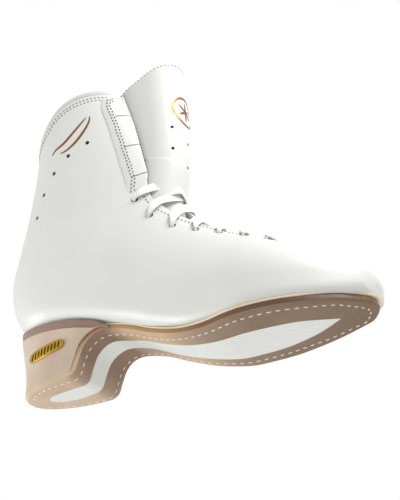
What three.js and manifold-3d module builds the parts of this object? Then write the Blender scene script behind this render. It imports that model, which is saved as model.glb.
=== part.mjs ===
// Figure-skate boot, right foot, without its blade.
// Millimetres, +Z up, +X towards the toe, +Y towards the inner (medial) side of the foot.
// The model is laid out from the back of the heel base, then moved so that the origin is the
// centre of the heel base's flat bottom face, where the rear blade plate is screwed on.
import * as THREE from 'three';
import { mergeVertices } from 'three/addons/utils/BufferGeometryUtils.js';
import Module from 'manifold-3d';

const wasm = await Module();
wasm.setup();

// ---------------------------------------------------------------- driving dimensions
const SOLE_LENGTH = 245; // heel base back to the toe end of the outsole
const BALL_WIDTH = 78.2; // the outsole's greatest width
const SOLE_THICKNESS = 4.5;
const WELT_THICKNESS = 1.2;
const HEEL_BASE_LENGTH = 50; // flat part of the heel's bottom face
const HEEL_BASE_HALF_WIDTH = 26.7;
const HEEL_BACK_HEIGHT = 43; // top of the heel block at its back
const HEEL_SEAT_HEIGHT = 4.2; // dark band between the heel block and the upper
const CUFF_RISE = 0; // added to the height of the cuff's top line
const UPPER_WALL = 2.0; // outer skin
const STIFFENER = 1.2; // counter, toe puff and pads between skin and lining
const INSOLE_BOARD = 2.4;
const LINING = 2.2;
const FOOTBED = 3.0;
const COLLAR_THICKNESS = 6.4;
const COLLAR_DROP = 20; // the collar pad's depth below the cuff's top line
const COLLAR_STAND = 4; // how far the collar pad stands above it
const THROAT_HALF_GAP = 9; // half the gap between the facings at the toe end
const SHAFT_HALF_GAP = 20; // half the gap between the facings at the ankle and cuff
const EYELET_ROWS = 7;
const EYELET_INSET = 11; // from the facing's edge to the eyelet's centre
const EYELET_BORE = 4.8;
const EYELET_WALL = 0.8;
const EYELET_SIDES = 8;
const HOOK_ROWS = 3;
const TAB_WIDTH = 15;
const TAB_THICKNESS = 1.0;
const HOOK_THICKNESS = 1.2;
const LACE_RADIUS = 1.2;
const TONGUE_COVER = 1.6;
const TONGUE_PAD = 5.0;
const TONGUE_FRONT = 132; // the standing tongue's front
const TONGUE_TOP = 229;
const TONGUE_SIDE_CLEARANCE = 1.5; // between the standing tongue and each facing
const SCREW_RADIUS = 1.8;
const SCREW_HEAD_RADIUS = 3.4;
const SCREW_LENGTH = 30;
const INLAY_DEPTH = 1.4;
const BADGE_LENGTH = 32;
const BADGE_HEIGHT = 7;
const GAP = 0.3; // clearance between touching pieces
const STATIONS = 19; // cross-sections along the upper
const AROUND = 18; // sides of a cross-section

const LAYER_STIFFENER = UPPER_WALL + GAP;
const LAYER_LINING = LAYER_STIFFENER + STIFFENER + GAP;
const LINING_INSIDE = LAYER_LINING + LINING;
const LACE_UNDER = LINING_INSIDE + LACE_RADIUS + GAP;
const TONGUE_TOP_LAYER = LACE_UNDER + LACE_RADIUS + 3 * GAP;

// ---------------------------------------------------------------- solids and meshes
function toSolid(geometry) {
  const bare = geometry.clone();
  bare.deleteAttribute('normal');
  bare.deleteAttribute('uv');
  const merged = mergeVertices(bare, 1e-4);
  return new wasm.Manifold(new wasm.Mesh({
    numProp: 3,
    vertProperties: new Float32Array(merged.attributes.position.array),
    triVerts: new Uint32Array(merged.index.array),
  }));
}

function toGeometry(solid) {
  const mesh = solid.getMesh();
  const geometry = new THREE.BufferGeometry();
  geometry.setAttribute('position', new THREE.BufferAttribute(mesh.vertProperties, 3));
  geometry.setIndex(new THREE.BufferAttribute(mesh.triVerts, 1));
  return geometry;
}

// A closed skin over rings of points that all have the same count and run the same way round.
function loft(rings) {
  const count = rings[0].length;
  const position = [];
  const index = [];
  rings.forEach((ring) => ring.forEach((p) => position.push(p.x, p.y, p.z)));
  for (let i = 0; i + 1 < rings.length; i += 1) {
    for (let j = 0; j < count; j += 1) {
      const a = i * count + j;
      const b = i * count + ((j + 1) % count);
      index.push(a, b, b + count, a, b + count, a + count);
    }
  }
  [0, rings.length - 1].forEach((end) => {
    const flat = rings[end];
    const centre = new THREE.Vector3();
    flat.forEach((p) => centre.add(p));
    centre.divideScalar(count);
    const c = position.length / 3;
    position.push(centre.x, centre.y, centre.z);
    for (let j = 0; j < count; j += 1) {
      const a = end * count + j;
      const b = end * count + ((j + 1) % count);
      if (end === 0) index.push(c, b, a);
      else index.push(c, a, b);
    }
  });
  return faceOutwards(position, index);
}

// A closed block between two grids of points, outer[i][j] and inner[i][j].
function block(outer, inner) {
  const rows = outer.length;
  const columns = outer[0].length;
  const position = [];
  const index = [];
  [outer, inner].forEach((grid) => grid.forEach((row) => row.forEach((p) => position.push(p.x, p.y, p.z))));
  const at = (side, i, j) => side * rows * columns + i * columns + j;
  const quad = (a, b, c, d) => index.push(a, b, c, a, c, d);
  for (let i = 0; i + 1 < rows; i += 1) {
    for (let j = 0; j + 1 < columns; j += 1) {
      quad(at(0, i, j), at(0, i + 1, j), at(0, i + 1, j + 1), at(0, i, j + 1));
      quad(at(1, i, j), at(1, i, j + 1), at(1, i + 1, j + 1), at(1, i + 1, j));
    }
    quad(at(0, i, 0), at(1, i, 0), at(1, i + 1, 0), at(0, i + 1, 0));
    const e = columns - 1;
    quad(at(0, i, e), at(0, i + 1, e), at(1, i + 1, e), at(1, i, e));
  }
  for (let j = 0; j + 1 < columns; j += 1) {
    quad(at(0, 0, j), at(0, 0, j + 1), at(1, 0, j + 1), at(1, 0, j));
    const e = rows - 1;
    quad(at(0, e, j), at(1, e, j), at(1, e, j + 1), at(0, e, j + 1));
  }
  return faceOutwards(position, index);
}

// Turns every face over when the enclosed volume comes out negative.
function faceOutwards(position, index) {
  const v = position.map(Number);
  let volume = 0;
  for (let k = 0; k < index.length; k += 3) {
    const [a, b, c] = [index[k] * 3, index[k + 1] * 3, index[k + 2] * 3];
    volume += v[a] * (v[b + 1] * v[c + 2] - v[b + 2] * v[c + 1])
      + v[a + 1] * (v[b + 2] * v[c] - v[b] * v[c + 2])
      + v[a + 2] * (v[b] * v[c + 1] - v[b + 1] * v[c]);
  }
  const turned = volume < 0 ? index.slice().reverse() : index;
  const geometry = new THREE.BufferGeometry();
  geometry.setAttribute('position', new THREE.Float32BufferAttribute(position, 3));
  geometry.setIndex(turned);
  return geometry;
}

// An outline in the XZ plane, extruded right across the boot.
function across(points, halfWidth = 70) {
  const shape = new THREE.Shape(points.map(([x, z]) => new THREE.Vector2(x, z)));
  const geometry = new THREE.ExtrudeGeometry(shape, { depth: 2 * halfWidth, bevelEnabled: false });
  geometry.rotateX(Math.PI / 2);
  geometry.translate(0, halfWidth, 0);
  return toSolid(geometry);
}

// An outline in the XY plane, extruded upwards.
function upwards(points, low, high) {
  const shape = new THREE.Shape(points.map(([x, y]) => new THREE.Vector2(x, y)));
  const geometry = new THREE.ExtrudeGeometry(shape, { depth: high - low, bevelEnabled: false });
  geometry.translate(0, 0, low);
  return toSolid(geometry);
}

function boxSolid(low, high) {
  const geometry = new THREE.BoxGeometry(high[0] - low[0], high[1] - low[1], high[2] - low[2]);
  geometry.translate((low[0] + high[0]) / 2, (low[1] + high[1]) / 2, (low[2] + high[2]) / 2);
  return toSolid(geometry);
}

// A cylinder whose axis runs through centre along axis.
function rod(centre, axis, radius, length, sides) {
  const geometry = new THREE.CylinderGeometry(radius, radius, length, sides);
  const turn = new THREE.Quaternion().setFromUnitVectors(new THREE.Vector3(0, 1, 0), axis);
  geometry.applyQuaternion(turn);
  geometry.translate(centre.x, centre.y, centre.z);
  return toSolid(geometry);
}

// ---------------------------------------------------------------- the sole's lines
// The outlines below are drawn for a 245 mm sole, 78.2 mm wide, on a heel 43 mm high. These three
// functions carry them to the sizes above. A higher heel turns the foot up about the ball.
const DRAWN = { length: 245, width: 78.2, heel: 43 };
const BALL = 176; // where the forefoot touches the ground
const X = (x) => (x * SOLE_LENGTH) / DRAWN.length;
const Y = (y) => (y * BALL_WIDTH) / DRAWN.width;
const Z = (x, z) => z + (HEEL_BACK_HEIGHT - DRAWN.heel) * Math.max(0, 1 - x / BALL);

// Height of the outsole's bottom face: flat heel base, concave breast, waist, ball and toe spring.
const soleFlat = [[-12, 0], [HEEL_BASE_LENGTH - 1, 0]];
const breast = [[3, 2.5], [6, 10], [10, 18.5], [17, 24.2], [26, 25.6]]
  .map(([x, z]) => [HEEL_BASE_LENGTH + x, Z(HEEL_BASE_LENGTH + x, z)]);
const waist = [[92, 21.5], [110, 13], [130, 5.4], [150, 1.6], [BALL - 9, 1.5], [BALL + 9, 1.5]]
  .map(([x, z]) => [X(x), Z(x, z)]);
const toeSpring = [[210, 2.2], [235, 5], [257, 9.2]].map(([x, z]) => [X(x), z]);

function alongLine(points, divisions) {
  const curve = new THREE.SplineCurve(points.map(([x, z]) => new THREE.Vector2(x, z)));
  return curve.getPoints(divisions).map((p) => [p.x, p.y]);
}

// The line moved along its own normal, upwards.
function raised(line, distance) {
  return line.map(([x, z], i) => {
    const [x0, z0] = line[Math.max(i - 1, 0)];
    const [x1, z1] = line[Math.min(i + 1, line.length - 1)];
    const length = Math.hypot(x1 - x0, z1 - z0);
    return [x - ((z1 - z0) / length) * distance, z + ((x1 - x0) / length) * distance];
  });
}

const soleLine = [
  ...soleFlat, ...alongLine([soleFlat[1], ...breast, ...waist.slice(0, -1)], 20).slice(1),
  ...alongLine([waist[waist.length - 1], ...toeSpring], 5),
];
const soleTop = raised(soleLine, SOLE_THICKNESS);

// Line A: the underside of the upper. It runs over the heel seat and then lies on the welt.
const seatLine = [[-24, 50.5], [-4, 48], [12, 45.4], [28, 43.4], [44, 41.4], [56, 39], [66, 36.4]]
  .map(([x, z]) => [X(x), Z(x, z)]);
const WELT_START = X(80); // the heel seat ends and the welt starts
const overSole = (distance) => raised(soleLine, distance).filter(([x]) => x > WELT_START);
const weltBase = overSole(SOLE_THICKNESS + GAP);
const weltTop = overSole(SOLE_THICKNESS + GAP + WELT_THICKNESS);
const lineA = [...seatLine, ...overSole(SOLE_THICKNESS + WELT_THICKNESS + 2 * GAP)];

// The height of a line at x.
function heightOn(line, x) {
  const i = Math.max(1, line.findIndex(([px]) => px >= x));
  const [x0, z0] = line[i - 1];
  const [x1, z1] = line[i];
  return z0 + ((z1 - z0) * (x - x0)) / (x1 - x0);
}

function shifted(line, dz) {
  return line.map(([x, z]) => [x, z + dz]);
}

// Everything under a line that runs from heel to toe, as one cutter.
function under(line, bottom = -40) {
  return across([[line[0][0], bottom], ...line, [line[line.length - 1][0], bottom]].reverse());
}

// ---------------------------------------------------------------- the upper's cross-sections
// Each row is one cross-section: the sole or back end, the front end, its centre's and half
// width's Y, the widest place as a share from the sole end, and how square each end is.
const sections = [
  { g: [248, 17], f: [250.6, 26], centre: 9, half: 10, widest: 0.5, gPower: 2.4, fPower: 2.2 },
  { g: [247, 12], f: [248.8, 31], centre: 8.6, half: 15.5, widest: 0.45, gPower: 3, fPower: 2.2 },
  { g: [245, 9], f: [245, 35], centre: 7.4, half: 20.5, widest: 0.4, gPower: 4, fPower: 2.2 },
  { g: [236, 7.6], f: [235.5, 40], centre: 4.2, half: 26.8, widest: 0.38, gPower: 5, fPower: 2.2 },
  { g: [222, 6], f: [220.5, 46.5], centre: 0.4, half: 32.8, widest: 0.36, gPower: 6, fPower: 2.2 },
  { g: [203, 5.4], f: [202.5, 56], centre: -2.4, half: 37.6, widest: 0.34, gPower: 6, fPower: 2.15 },
  { g: [182, 5.2], f: [185, 65.5], centre: -3, half: 40.2, widest: 0.32, gPower: 6, fPower: 2.1 },
  { g: [160, 5.3], f: [168, 75], centre: -2, half: 39.2, widest: 0.32, gPower: 6, fPower: 2.05 },
  { g: [138, 7.6], f: [153, 85.5], centre: -1, half: 36.6, widest: 0.34, gPower: 6, fPower: 2 },
  { g: [114, 15.4], f: [140.5, 97], centre: 0.4, half: 34.4, widest: 0.36, gPower: 5.5, fPower: 2 },
  { g: [90, 25], f: [132.5, 107.5], centre: 1, half: 33.2, widest: 0.38, gPower: 5, fPower: 2 },
  { g: [64, 35], f: [129, 115], centre: 0.6, half: 32.8, widest: 0.4, gPower: 4.6, fPower: 2 },
  { g: [36, 40.8], f: [127.4, 120.6], centre: 0, half: 32.8, widest: 0.42, gPower: 4, fPower: 2 },
  { g: [8, 44.6], f: [126.2, 125.6], centre: 0, half: 33, widest: 0.44, gPower: 3, fPower: 2 },
  { g: [-6, 59], f: [124.8, 130.4], centre: 0, half: 33.2, widest: 0.45, gPower: 2.4, fPower: 2 },
  { g: [-10.6, 81], f: [122.2, 137], centre: 0, half: 33.4, widest: 0.45, gPower: 2.2, fPower: 2 },
  { g: [-5, 104], f: [118.4, 147], centre: 0, half: 33.6, widest: 0.45, gPower: 2.1, fPower: 2.05 },
  { g: [3.6, 131], f: [113, 162], centre: 0, half: 34.2, widest: 0.45, gPower: 2.1, fPower: 2.1 },
  { g: [11, 160], f: [107, 180], centre: 0, half: 35.2, widest: 0.45, gPower: 2.1, fPower: 2.15 },
  { g: [14.5, 181], f: [101, 196], centre: 0, half: 36.2, widest: 0.45, gPower: 2.1, fPower: 2.2 },
  { g: [13.5, 203], f: [95.4, 213], centre: 0, half: 36.8, widest: 0.45, gPower: 2.1, fPower: 2.2 },
  { g: [12, 225], f: [89, 232], centre: 0, half: 37.4, widest: 0.45, gPower: 2.1, fPower: 2.2 },
];
const SKIN_SINK = LAYER_STIFFENER + 0.2; // how far the uncut form reaches below the upper's underside
const LAST_BOTTOM = 13; // the last cross-section that stands on the sole
sections.forEach((s, i) => {
  s.f = [X(s.f[0]), Z(s.f[0], s.f[1])];
  s.g = [X(s.g[0]), Z(s.g[0], s.g[1])];
  if (i >= 3 && i <= LAST_BOTTOM) s.g[1] = heightOn(lineA, s.g[0]) - SKIN_SINK;
  s.centre = Y(s.centre);
  s.half = Y(s.half);
});
const track = (pick) => new THREE.CatmullRomCurve3(
  sections.map((s) => new THREE.Vector3(...pick(s))), false, 'catmullrom', 0.5);
const soleTrack = track((s) => [s.g[0], s.centre, s.g[1]]);
const frontTrack = track((s) => [s.f[0], s.half, s.f[1]]);
const formTrack = track((s) => [s.widest, s.gPower, s.fPower]);
const LAST = sections.length - 1;
const MIN_HALF = 2.2; // no inside section is smaller than this, even at the tip of the toe
const FACING_STEP = 0.1;
const TOE_REACH = 34; // how far back the toe's wall thickness shortens the inside

// The cross-section at station s (0 at the toe, LAST above the cuff), depth d inside the skin.
// extra is the part of the depth that is added only over the sole.
function sectionAt(s, d = 0, extra = 0) {
  const t = THREE.MathUtils.clamp(s / LAST, 0, 1);
  const g = soleTrack.getPoint(t);
  const f = frontTrack.getPoint(t);
  const form = formTrack.getPoint(t);
  const centre = g.y;
  const half = Math.max(f.y - d, MIN_HALF);
  const dir = new THREE.Vector2(f.x - g.x, f.z - g.z);
  const length = dir.length();
  dir.divideScalar(length);
  const onSole = 1 - THREE.MathUtils.smoothstep(s, LAST_BOTTOM, LAST_BOTTOM + 1.2);
  const oblique = 1 + (1 / dir.y - 1) * onSole; // a leaning section meets the sole at a slant
  const atSole = (d + extra * onSole) * oblique;
  const toToe = Math.max(0, 1 - (sections[0].f[0] - g.x) / TOE_REACH);
  const back = d * toToe * toToe;
  const span = Math.max(length - d - atSole, 2 * MIN_HALF);
  const q0 = (length - d + atSole - span) / 2;
  const q1 = q0 + span;
  const mid = q0 + (q1 - q0) * form.x;
  return { g, dir, centre, half, q0, q1, mid, gPower: form.y, fPower: form.z, back };
}

// A point of a cross-section: angle -90 degrees at the sole or back, +90 at the front,
// side -1 outer (lateral), +1 inner (medial).
function sectionPoint(c, angle, side) {
  const front = angle > 0;
  const power = 2 / (front ? c.fPower : c.gPower);
  const reach = front ? c.q1 - c.mid : c.mid - c.q0;
  const y = c.centre + side * c.half * Math.abs(Math.cos(angle)) ** power;
  const q = c.mid + Math.sign(angle) * reach * Math.abs(Math.sin(angle)) ** power;
  return new THREE.Vector3(c.g.x + c.dir.x * q - c.back, y, c.g.z + c.dir.y * q);
}

function sectionRing(s, d, extra) {
  const c = sectionAt(s, d, extra);
  const ring = [];
  for (let k = 0; k < AROUND; k += 1) {
    const turn = (k / AROUND) * 2 * Math.PI - Math.PI / 2;
    const onFront = turn > Math.PI / 2;
    const angle = onFront ? Math.PI - turn : turn;
    ring.push(sectionPoint(c, angle, onFront ? 1 : -1));
  }
  return ring;
}

const stationList = [];
for (let k = 0; k < STATIONS; k += 1) {
  const u = k / (STATIONS - 1);
  stationList.push(LAST * (0.82 * u + 0.18 * u * u * (3 - 2 * u)));
}

// The boot's outer form, or the form d inside it.
function form(d = 0, extra = 0) {
  return toSolid(loft(stationList.map((s) => sectionRing(s, d, extra))));
}

// The angle on a section's front part at distance y from the boot's centre line.
function frontAngle(c, y, side) {
  const share = THREE.MathUtils.clamp((y - side * c.centre) / c.half, 0, 1);
  return Math.acos(share ** (c.fPower / 2));
}

// A point on the front part of the upper, y from the centre line and depth d inside the skin.
function frontPoint(s, y, d) {
  const c = sectionAt(s, d);
  const side = y < 0 ? -1 : 1;
  return sectionPoint(c, frontAngle(c, Math.abs(y), side), side);
}

// The Y at the given distance along the skin from the facing's edge, on a section's own line.
function facingY(s, distance) {
  const edge = halfGap(s);
  let walked = 0;
  let y = edge;
  let last = frontPoint(s, y, 0);
  while (walked < distance) {
    y += FACING_STEP;
    const next = frontPoint(s, y, 0);
    walked += next.distanceTo(last);
    last = next;
  }
  return y;
}

function frontNormal(s, y) {
  const p = frontPoint(s, y, 0);
  const along = frontPoint(s + 0.05, y, 0).sub(p);
  const aside = frontPoint(s, y + 0.5 * (y < 0 ? -1 : 1), 0).sub(p);
  const n = new THREE.Vector3().crossVectors(along, aside).normalize();
  return n.z * (y < 0 ? 1 : 1) < 0 && n.x < 0 ? n.negate() : n.x < 0 ? n.negate() : n;
}

// ---------------------------------------------------------------- the facing gap
const THROAT = 5.6; // station of the gap's toe end
const ANKLE = 12.5; // station where the gap reaches its full width
function halfGap(s) {
  const u = THREE.MathUtils.smoothstep(s, THROAT, ANKLE);
  return THROAT_HALF_GAP + (SHAFT_HALF_GAP - THROAT_HALF_GAP) * u;
}

// The station where the lateral facing's edge is at height z.
function stationAt(z) {
  let low = THROAT;
  let high = LAST;
  for (let k = 0; k < 30; k += 1) {
    const s = (low + high) / 2;
    if (frontPoint(s, -halfGap(s), 0).z < z) low = s;
    else high = s;
  }
  return low;
}

// The cutter that opens the gap, each side moved out by margin.
function gapCutter(margin = 0) {
  const rings = [];
  for (let k = 0; k <= 16; k += 1) {
    const s = THREE.MathUtils.lerp(THROAT - margin * 0.05, LAST, k / 16);
    const c = sectionAt(s, 0);
    const y = halfGap(s) + margin;
    const low = c.q1 - 30;
    const high = c.q1 + 30;
    const at = (q, side) => new THREE.Vector3(c.g.x + c.dir.x * q, side * y, c.g.z + c.dir.y * q);
    rings.push([at(low, -1), at(low, 1), at(high, 1), at(high, -1)]);
  }
  return toSolid(loft(rings));
}

// The cuff's top line, low over the Achilles tendon and high at the sides.
const cuffPoints = [
  [-30, 181], [8, 181], [22, 184], [36, 192], [48, 200.5], [60, 205.5], [74, 208], [88, 208],
  [110, 206], [160, 206],
].map(([x, z]) => [X(x), Z(x, z) + CUFF_RISE]);
const cuffLine = alongLine(cuffPoints, 14);

function aboveCuff(dz) {
  return across([...shifted(cuffLine, dz), [160, 300], [-30, 300]]);
}

const belowUpper = under(lineA);
const slotCutter = gapCutter();
const liningGapCutter = gapCutter(0.6);

// ---------------------------------------------------------------- eyelets
// Heights of the rows on the facing's edge, from the toe end up.
const eyeletHeights = [61.5, 69.5, 78, 87, 96.5, 107.5, 121];
const eyelets = [];
for (let row = 0; row < EYELET_ROWS; row += 1) {
  const s = stationAt(eyeletHeights[row]);
  [-1, 1].forEach((side) => {
    const y = side * facingY(s, EYELET_INSET);
    const at = frontPoint(s, y, 0);
    const normal = frontNormal(s, y);
    const facing = at.clone().sub(frontPoint(s, y, 1)).dot(normal);
    eyelets.push({ row, side, s, y, at, normal, facing });
  });
}
// The wall seen along the eyelet's own axis, thinner where the section stands oblique to it.
const BORE_DEPTH = LINING_INSIDE;
const holeRadius = EYELET_BORE / 2 + EYELET_WALL + GAP;
const eyeletHoles = wasm.Manifold.union(eyelets.map((e) => rod(
  e.at.clone().addScaledVector(e.normal, -BORE_DEPTH / 2), e.normal, holeRadius, BORE_DEPTH + 6, EYELET_SIDES)));

function eyeletGeometry() {
  const r0 = EYELET_BORE / 2;
  const r1 = r0 + EYELET_WALL;
  const depth = BORE_DEPTH - 0.6;
  const profile = [[r0, -depth], [r1, -depth], [r1, 0], [r0, 0], [r0, -depth]];
  return new THREE.LatheGeometry(profile.map(([r, h]) => new THREE.Vector2(r, h)), EYELET_SIDES);
}

// ---------------------------------------------------------------- the node list
const boot = new THREE.Group();
boot.name = 'figure_skate_boot';
const model = new THREE.Group();
boot.add(model);
const HEEL_FACE_CENTRE = 26;
model.position.x = -HEEL_FACE_CENTRE;

function add(name, geometry, color, roughness, metalness = 0) {
  geometry.computeVertexNormals();
  const material = new THREE.MeshStandardMaterial({ color, roughness, metalness });
  const mesh = new THREE.Mesh(geometry, material);
  mesh.name = name;
  model.add(mesh);
  return mesh;
}

const WHITE_LEATHER = 0xf2f1ec;
const LINING_COLOUR = 0xe9e2d4;
const TAN = 0xb5987c;
const DARK_TAN = 0x7a5c45;
const STEEL = 0xb8babd;

// ---------------------------------------------------------------- upper and its layers
const outside = form(0);
const skinInside = form(UPPER_WALL);
const stiffOutside = form(LAYER_STIFFENER);
const stiffInside = form(LAYER_STIFFENER + STIFFENER, INSOLE_BOARD - STIFFENER);
const liningOutside = form(LAYER_LINING, INSOLE_BOARD - STIFFENER);
const liningInside = form(LINING_INSIDE, INSOLE_BOARD - STIFFENER);

const soleEdges = [ // plan of the outsole ahead of the heel: X, lateral Y, medial Y
  [85, -23.5, 29.6], [105, -25.6, 28.9], [130, -32.2, 31.4], [155, -38.2, 35.4],
  [180, -42, 36.2], [205, -37.4, 31.8], [228, -23.8, 27.4], [240, -9.5, 22.6],
].map(([x, lateral, medial]) => [X(x), Y(lateral), Y(medial)]);

function heelOutline(back, length, half, power = 2.3, steps = 8) {
  const points = [];
  for (let k = -steps; k <= steps; k += 1) {
    const a = (k / steps) * (Math.PI / 2);
    const c = Math.cos(a) ** (2 / power);
    const s = Math.sign(a) * Math.abs(Math.sin(a)) ** (2 / power);
    points.push([back + length * (1 - c), half * s]);
  }
  return points;
}

// The outsole's outline, moved in by inset.
function soleOutlinePoints(inset, from = 0) {
  const heel = heelOutline(inset, HEEL_BASE_LENGTH - 2 - inset, HEEL_BASE_HALF_WIDTH - inset);
  const edges = soleEdges.filter(([x]) => x < SOLE_LENGTH - inset - 2);
  const medial = edges.map(([x, , y]) => [x, y - inset]);
  const lateral = edges.map(([x, y]) => [x, y + inset]).reverse();
  const tip = [[SOLE_LENGTH - inset, Y(8)]];
  if (from > 0) {
    const ahead = (list) => list.filter(([x]) => x > from + 3);
    const loop = [[from, Y(28) - inset], ...ahead(medial), ...tip, ...ahead(lateral), [from, Y(-24) + inset]];
    return smoothLoop(loop, false);
  }
  return [...heel, ...smoothLoop([heel[heel.length - 1], ...medial, ...tip, ...lateral, heel[0]], true)];
}

function smoothLoop(points, open) {
  const curve = new THREE.SplineCurve(points.map(([x, y]) => new THREE.Vector2(x, y)));
  const list = curve.getPoints((points.length - 1) * 2).map((p) => [p.x, p.y]);
  return open ? list.slice(1, -1) : list;
}

// Screws that hold the heel, from inside the shoe. A head is sunk in the insole board, and its
// top lies the clearance below the lining.
const BOARD_TOP = LAYER_STIFFENER + INSOLE_BOARD - SKIN_SINK; // over line A
const HEAD_HEIGHT = 1.3;
const UP = new THREE.Vector3(0, 0, 1);
const heelScrews = [[20, 0], [38, -10], [38, 10]].map(([x, y]) => {
  const head = heightOn(lineA, x) + BOARD_TOP - GAP;
  return { x, y, head, middle: head - HEAD_HEIGHT - SCREW_LENGTH / 2 };
});
function screwRods(radius, length, shift, pick) {
  return wasm.Manifold.union(heelScrews.map((screw) => rod(
    new THREE.Vector3(screw.x, screw.y, pick(screw) + shift), UP, radius, length, 10)));
}
const screwHoles = screwRods(SCREW_RADIUS + GAP, SCREW_LENGTH + 3, 0, (screw) => screw.middle);
const HEAD_ROOM = 3;
const screwHeadHoles = screwRods(SCREW_HEAD_RADIUS + GAP, HEAD_HEIGHT + GAP + HEAD_ROOM,
  (HEAD_ROOM - HEAD_HEIGHT - GAP) / 2, (screw) => screw.head);

const GLUED_MARGIN = 8; // inside it the upper's bottom is open, and the insole board closes it
const openBottom = upwards(soleOutlinePoints(GLUED_MARGIN), -20, 90).intersect(under(shifted(lineA, 1.2)));
const skin = outside.subtract(skinInside).subtract(openBottom).subtract(slotCutter).subtract(aboveCuff(0))
  .subtract(belowUpper).subtract(eyeletHoles).subtract(screwHoles);
add('upper_shell', toGeometry(skin), WHITE_LEATHER, 0.45);

const TOE_PUFF_BACK = X(206);
const COUNTER_FRONT = X(92);
const COUNTER_TOP = Z(0, 112);
const BOARD_LIP = 1.4; // the board's turned-up edge
const insoleZone = under(shifted(lineA, BOARD_TOP + BOARD_LIP));
const stiffLayer = stiffOutside.subtract(stiffInside).subtract(belowUpper).subtract(gapCutter(2))
  .subtract(eyeletHoles);
const collarZone = aboveCuff(-COLLAR_DROP);
const stiffBelowCollar = stiffLayer.subtract(aboveCuff(-COLLAR_DROP - GAP));
const FAR = 400;
const insole = stiffLayer.intersect(insoleZone).subtract(screwHoles).subtract(screwHeadHoles);
add('insole_board', toGeometry(insole), 0xc9b79a, 0.8);
const aboveInsole = stiffBelowCollar
  .subtract(under(shifted(lineA, BOARD_TOP + BOARD_LIP + GAP)));
add('toe_puff', toGeometry(aboveInsole.intersect(boxSolid([TOE_PUFF_BACK, -FAR, -FAR], [FAR, FAR, FAR]))),
  0xd8d2c4, 0.7);
const counterBox = boxSolid([-FAR, -FAR, -FAR], [COUNTER_FRONT, FAR, COUNTER_TOP]);
add('heel_counter', toGeometry(aboveInsole.intersect(counterBox)), 0xcfc6b4, 0.7);
const padRest = aboveInsole
  .subtract(boxSolid([TOE_PUFF_BACK - GAP, -FAR, -FAR], [FAR, FAR, FAR]))
  .subtract(boxSolid([-FAR, -FAR, -FAR], [COUNTER_FRONT + GAP, FAR, COUNTER_TOP + GAP]));
const PAD_SPLIT = X(130);
const anklePads = padRest.subtract(boxSolid([PAD_SPLIT, -FAR, -FAR], [FAR, FAR, FAR]));
add('ankle_pad_lateral', toGeometry(anklePads.subtract(boxSolid([-FAR, -GAP / 2, -FAR], [FAR, FAR, FAR]))),
  0xe4dccb, 0.95);
add('ankle_pad_medial', toGeometry(anklePads.subtract(boxSolid([-FAR, -FAR, -FAR], [FAR, GAP / 2, FAR]))),
  0xe4dccb, 0.95);
const vampBacker = padRest.subtract(boxSolid([-FAR, -FAR, -FAR], [PAD_SPLIT + GAP, FAR, FAR]));
add('vamp_backer', toGeometry(vampBacker), 0xe4dccb, 0.95);

const lining = liningOutside.subtract(liningInside).subtract(belowUpper).subtract(liningGapCutter)
  .subtract(eyeletHoles).subtract(aboveCuff(-COLLAR_DROP - GAP));
add('lining', toGeometry(lining), LINING_COLOUR, 0.9);

const collar = stiffOutside.subtract(form(LAYER_STIFFENER + COLLAR_THICKNESS)).intersect(collarZone)
  .subtract(aboveCuff(COLLAR_STAND)).subtract(gapCutter(2));
add('collar_pad', toGeometry(collar), 0xd9d7d2, 0.7);

// ---------------------------------------------------------------- inside the shoe
const FOOTBED_TOP = LINING_INSIDE + INSOLE_BOARD - STIFFENER + GAP - SKIN_SINK;
const footbedForm = form(LINING_INSIDE + GAP, INSOLE_BOARD - STIFFENER);
const footbed = footbedForm.intersect(under(shifted(lineA, FOOTBED_TOP + FOOTBED)));
add('footbed', toGeometry(footbed), 0x8c8f96, 0.95);

// The welt is a frame. The cork filler lies in its forefoot, and the shank in its waist.
const WELT_WIDTH = 12;
const FILLER_BACK = X(162);
const SHANK_FRONT = X(157);
const SHANK_BACK = X(50);
const SHANK_HALF_WIDTH = 7;
const SHANK_CENTRE = Y(2);
const fillBand = under(shifted(lineA, -GAP)).subtract(under(shifted(lineA, -GAP - WELT_THICKNESS)));
const filler = upwards(soleOutlinePoints(WELT_WIDTH + GAP, WELT_START + WELT_WIDTH), -20, 90)
  .intersect(fillBand).subtract(boxSolid([-FAR, -FAR, -FAR], [FILLER_BACK, FAR, FAR]));
add('cork_filler', toGeometry(filler), 0xa98258, 0.95);
function shankStrip(grow) {
  const low = [SHANK_BACK - grow, SHANK_CENTRE - SHANK_HALF_WIDTH - grow, -FAR];
  const high = [SHANK_FRONT + grow, SHANK_CENTRE + SHANK_HALF_WIDTH + grow, FAR];
  return under(shifted(lineA, -GAP + grow)).subtract(under(shifted(lineA, -GAP - WELT_THICKNESS - grow)))
    .intersect(boxSolid(low, high));
}
add('steel_shank', toGeometry(shankStrip(0)), STEEL, 0.35, 1);

// ---------------------------------------------------------------- outsole, welt and heel
const outsoleSheet = across([...soleLine, ...soleTop.slice().reverse()]);
const outsolePlan = upwards(soleOutlinePoints(0), -20, 90);
const inlayEdges = [ // X, lateral Y, medial Y
  [20, -6, 6], [34, -8.2, 8.4], [50, -9.3, 6.2], [68, -8.5, 8], [85, -5.6, 9.4], [105, -10.2, 11.3],
  [130, -14.1, 12], [155, -16.9, 18], [180, -16.9, 18.7], [205, -11.5, 12.2],
].map(([x, lateral, medial]) => [X(x), Y(lateral), Y(medial)]);
function inlayPlan(grow) {
  const medial = inlayEdges.map(([x, , y]) => [x, y + grow]);
  const lateral = inlayEdges.map(([x, y]) => [x, y - grow]).reverse();
  const loop = [...medial, [X(225) + grow, Y(3)], ...lateral];
  return upwards(smoothLoop(loop, false), -20, 90);
}
const inlayTop = raised(soleLine, INLAY_DEPTH);
const inlayTopClear = raised(soleLine, INLAY_DEPTH + GAP);
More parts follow.
